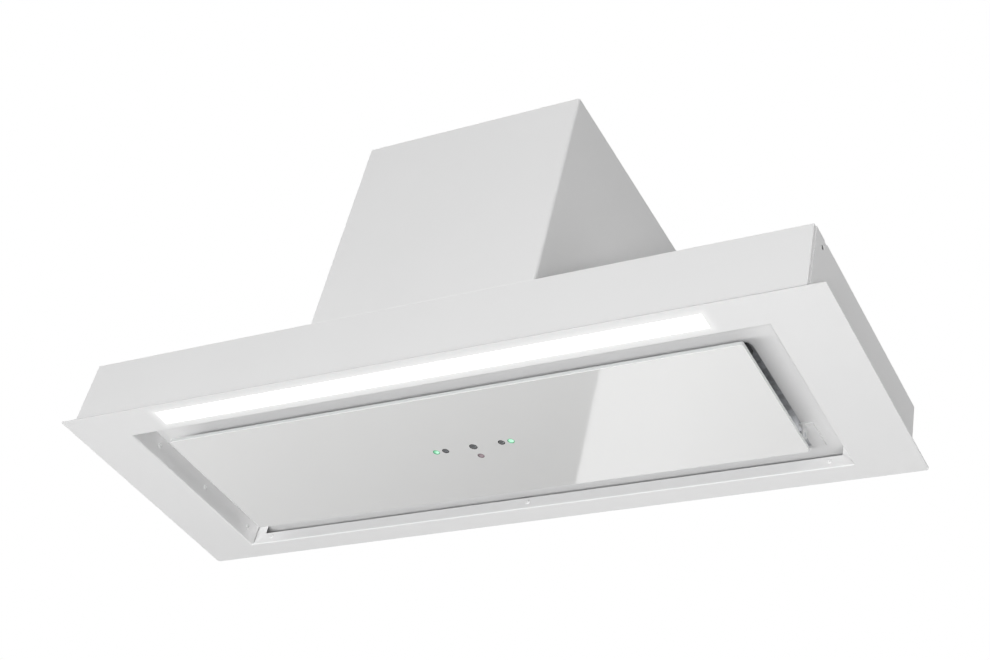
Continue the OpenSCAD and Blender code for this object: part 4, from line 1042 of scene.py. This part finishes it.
class HOOD_OT_studio(bpy.types.Operator):
    """Camera, floor, softboxes and even light"""
    bl_idname = "hood.studio"
    bl_label = "Studio"

    def execute(self, context):
        studio = context.scene.hood_studio
        self.camera(context.scene)
        self.floor()
        self.mirrored_cards(studio.cards)
        for name, setting, *place in SOFTBOXES:
            self.softbox(name, getattr(studio, setting), *place)
        self.sky(context.scene, studio.sky)
        context.scene.view_settings.view_transform = "Standard"
        return {"FINISHED"}

    def camera(self, scene):
        """Stands where the photograph was taken from, below, before and right of the hood."""
        lens = bpy.data.cameras.new("photo_camera")
        lens.lens = FOCAL_LENGTH
        lens.sensor_width = SENSOR_WIDTH
        lens.shift_x, lens.shift_y = [shift / PHOTO_WIDTH for shift in CAMERA_SHIFT]
        lens.clip_start = 0.05
        lens.clip_end = 40.0
        view = bpy.data.objects.new("photo_camera", lens)
        turn = Matrix((CAMERA_RIGHT, -CAMERA_DOWN, -CAMERA_AHEAD)).transposed().to_4x4()
        view.matrix_world = Matrix.Translation(CAMERA_SPOT) @ turn
        scene.collection.objects.link(view)
        scene.camera = view

    def softbox(self, name, brightness, spot, aim, width, height, spread):
        """An even rectangle of light that the camera doesn't see."""
        lamp = bpy.data.lights.new(name, "AREA")
        lamp.shape = "RECTANGLE"
        lamp.size, lamp.size_y, lamp.spread = width, height, radians(spread)
        lamp.energy = brightness * width * height * pi
        box = bpy.data.objects.new(name, lamp)
        turn = (Vector(aim) - Vector(spot)).to_track_quat("-Z", "Y").to_matrix().to_4x4()
        box.matrix_world = Matrix.Translation(spot) @ turn
        box.visible_camera = False
        bpy.context.scene.collection.objects.link(box)

    def sheet(self, name, place, material):
        """A flat sheet of the stage, 2 metres wide before it is placed."""
        mesh = bmesh.new()
        bmesh.ops.create_grid(mesh, x_segments=2, y_segments=2, size=1.0, matrix=place)
        data = bpy.data.meshes.new(name)
        mesh.to_mesh(data)
        mesh.free()
        data.materials.append(material)
        made = bpy.data.objects.new(name, data)
        bpy.context.scene.collection.objects.link(made)
        return made

    def mirrored_cards(self, brightness):
        """Soft cards behind the hood that only mirrors see: they give the glass its two tones."""
        recipe = Recipe("Mirrored cards")
        x, = recipe.axes("X")
        end, fade, share = DIM_CARD
        dim = ((end - x) / fade).clamped() * share
        edge, start, fall, loss = BRIGHT_CARD
        bright = (x > edge) * (1.0 - ((x - start) / fall).clamped() * loss)
        power = (dim + bright) * brightness
        glow = recipe.node("Emission", values={"Color": OPAQUE_WHITE, "Strength": power})
        recipe.node("OutputMaterial", values={"Surface": glow})
        place = (Matrix.Translation(CARDS_SPOT) @ Matrix.Rotation(radians(90.0), 4, "X")
                 @ Matrix.Diagonal((*CARDS_HALF, 1.0, 1.0)))
        cards = self.sheet("mirrored_cards", place, recipe.owner)
        cards.visible_camera = cards.visible_diffuse = cards.visible_shadow = False

    def seen(self, recipe):
        """1 for rays from the camera, a mirror or glass, and 0 for the light on the hood."""
        rays = [recipe.node("LightPath", out=name)
                for name in ("Is Camera Ray", "Is Glossy Ray", "Is Transmission Ray")]
        return rays[0].larger(rays[1]).larger(rays[2])

    def floor(self):
        """Plain pale floor below the hood, lifted to white where it is seen."""
        recipe = Recipe("Studio floor")
        tone = recipe.blend(recipe.noise(scale=0.8), *FLOOR_TONES)
        skin = recipe.node("BsdfPrincipled", values={"Base Color": tone, "Roughness": 0.9})
        lift = recipe.node("Emission", values={"Color": OPAQUE_WHITE, "Strength": FLOOR_GLOW})
        both = recipe.node("AddShader", values={0: skin, 1: lift})
        mixed = recipe.node("MixShader", values={0: self.seen(recipe), 1: skin, 2: both})
        recipe.node("OutputMaterial", values={"Surface": mixed})
        place = (Matrix.Translation((0.0, 0.0, FLOOR_HEIGHT))
                 @ Matrix.Diagonal((FLOOR_HALF, FLOOR_HALF, 1.0, 1.0)))
        floor = self.sheet("studio_floor", place, recipe.owner)

    def sky(self, scene, strength):
        """Even light, white where it is seen."""
        recipe = Recipe("studio_sky", "worlds")
        power = self.seen(recipe) * (1.0 - strength) + strength
        glow = recipe.node("Background", values={"Color": OPAQUE_WHITE, "Strength": power})
        recipe.node("OutputWorld", values={"Surface": glow})
        scene.world = recipe.owner


class HOOD_PT_panel(bpy.types.Panel):
    """Sidebar panel with the hood's sizes, colours and building steps"""
    bl_idname = "HOOD_PT_panel"
    bl_label = "Built-in range hood"
    bl_space_type = "VIEW_3D"
    bl_region_type = "UI"
    bl_category = "Hood"

    def draw(self, context):
        layout = self.layout
        for group in GROUPS:
            settings = getattr(context.scene, group)
            column = layout.column(align=True)
            for name in settings.__annotations__:
                column.prop(settings, name)
        for step in STEPS:
            layout.operator(step.bl_idname)


STEPS = (HOOD_OT_face_panel, HOOD_OT_body_sheets, HOOD_OT_glass_panel, HOOD_OT_windows,
         HOOD_OT_light_strip, HOOD_OT_fasteners, HOOD_OT_outlet, HOOD_OT_hinges, HOOD_OT_filters,
         HOOD_OT_finishes, HOOD_OT_studio)
GROUPS = {"hood_sizes": HoodSizes, "hood_colours": HoodColours, "hood_studio": HoodStudio}


def register():
    """Registers the classes and hangs the settings on the scene."""
    for kind in (*GROUPS.values(), *STEPS, HOOD_PT_panel):
        bpy.utils.register_class(kind)
    for name, kind in GROUPS.items():
        setattr(bpy.types.Scene, name, PointerProperty(type=kind))


def unregister():
    """Takes the settings and classes away again."""
    for name in GROUPS:
        delattr(bpy.types.Scene, name)
    for kind in reversed((*GROUPS.values(), *STEPS, HOOD_PT_panel)):
        bpy.utils.unregister_class(kind)


def main():
    """Builds every piece and the stage."""
    register()
    for step in STEPS:
        getattr(bpy.ops.hood, step.bl_idname.split(".")[1])()


if __name__ == "__main__":
    main()
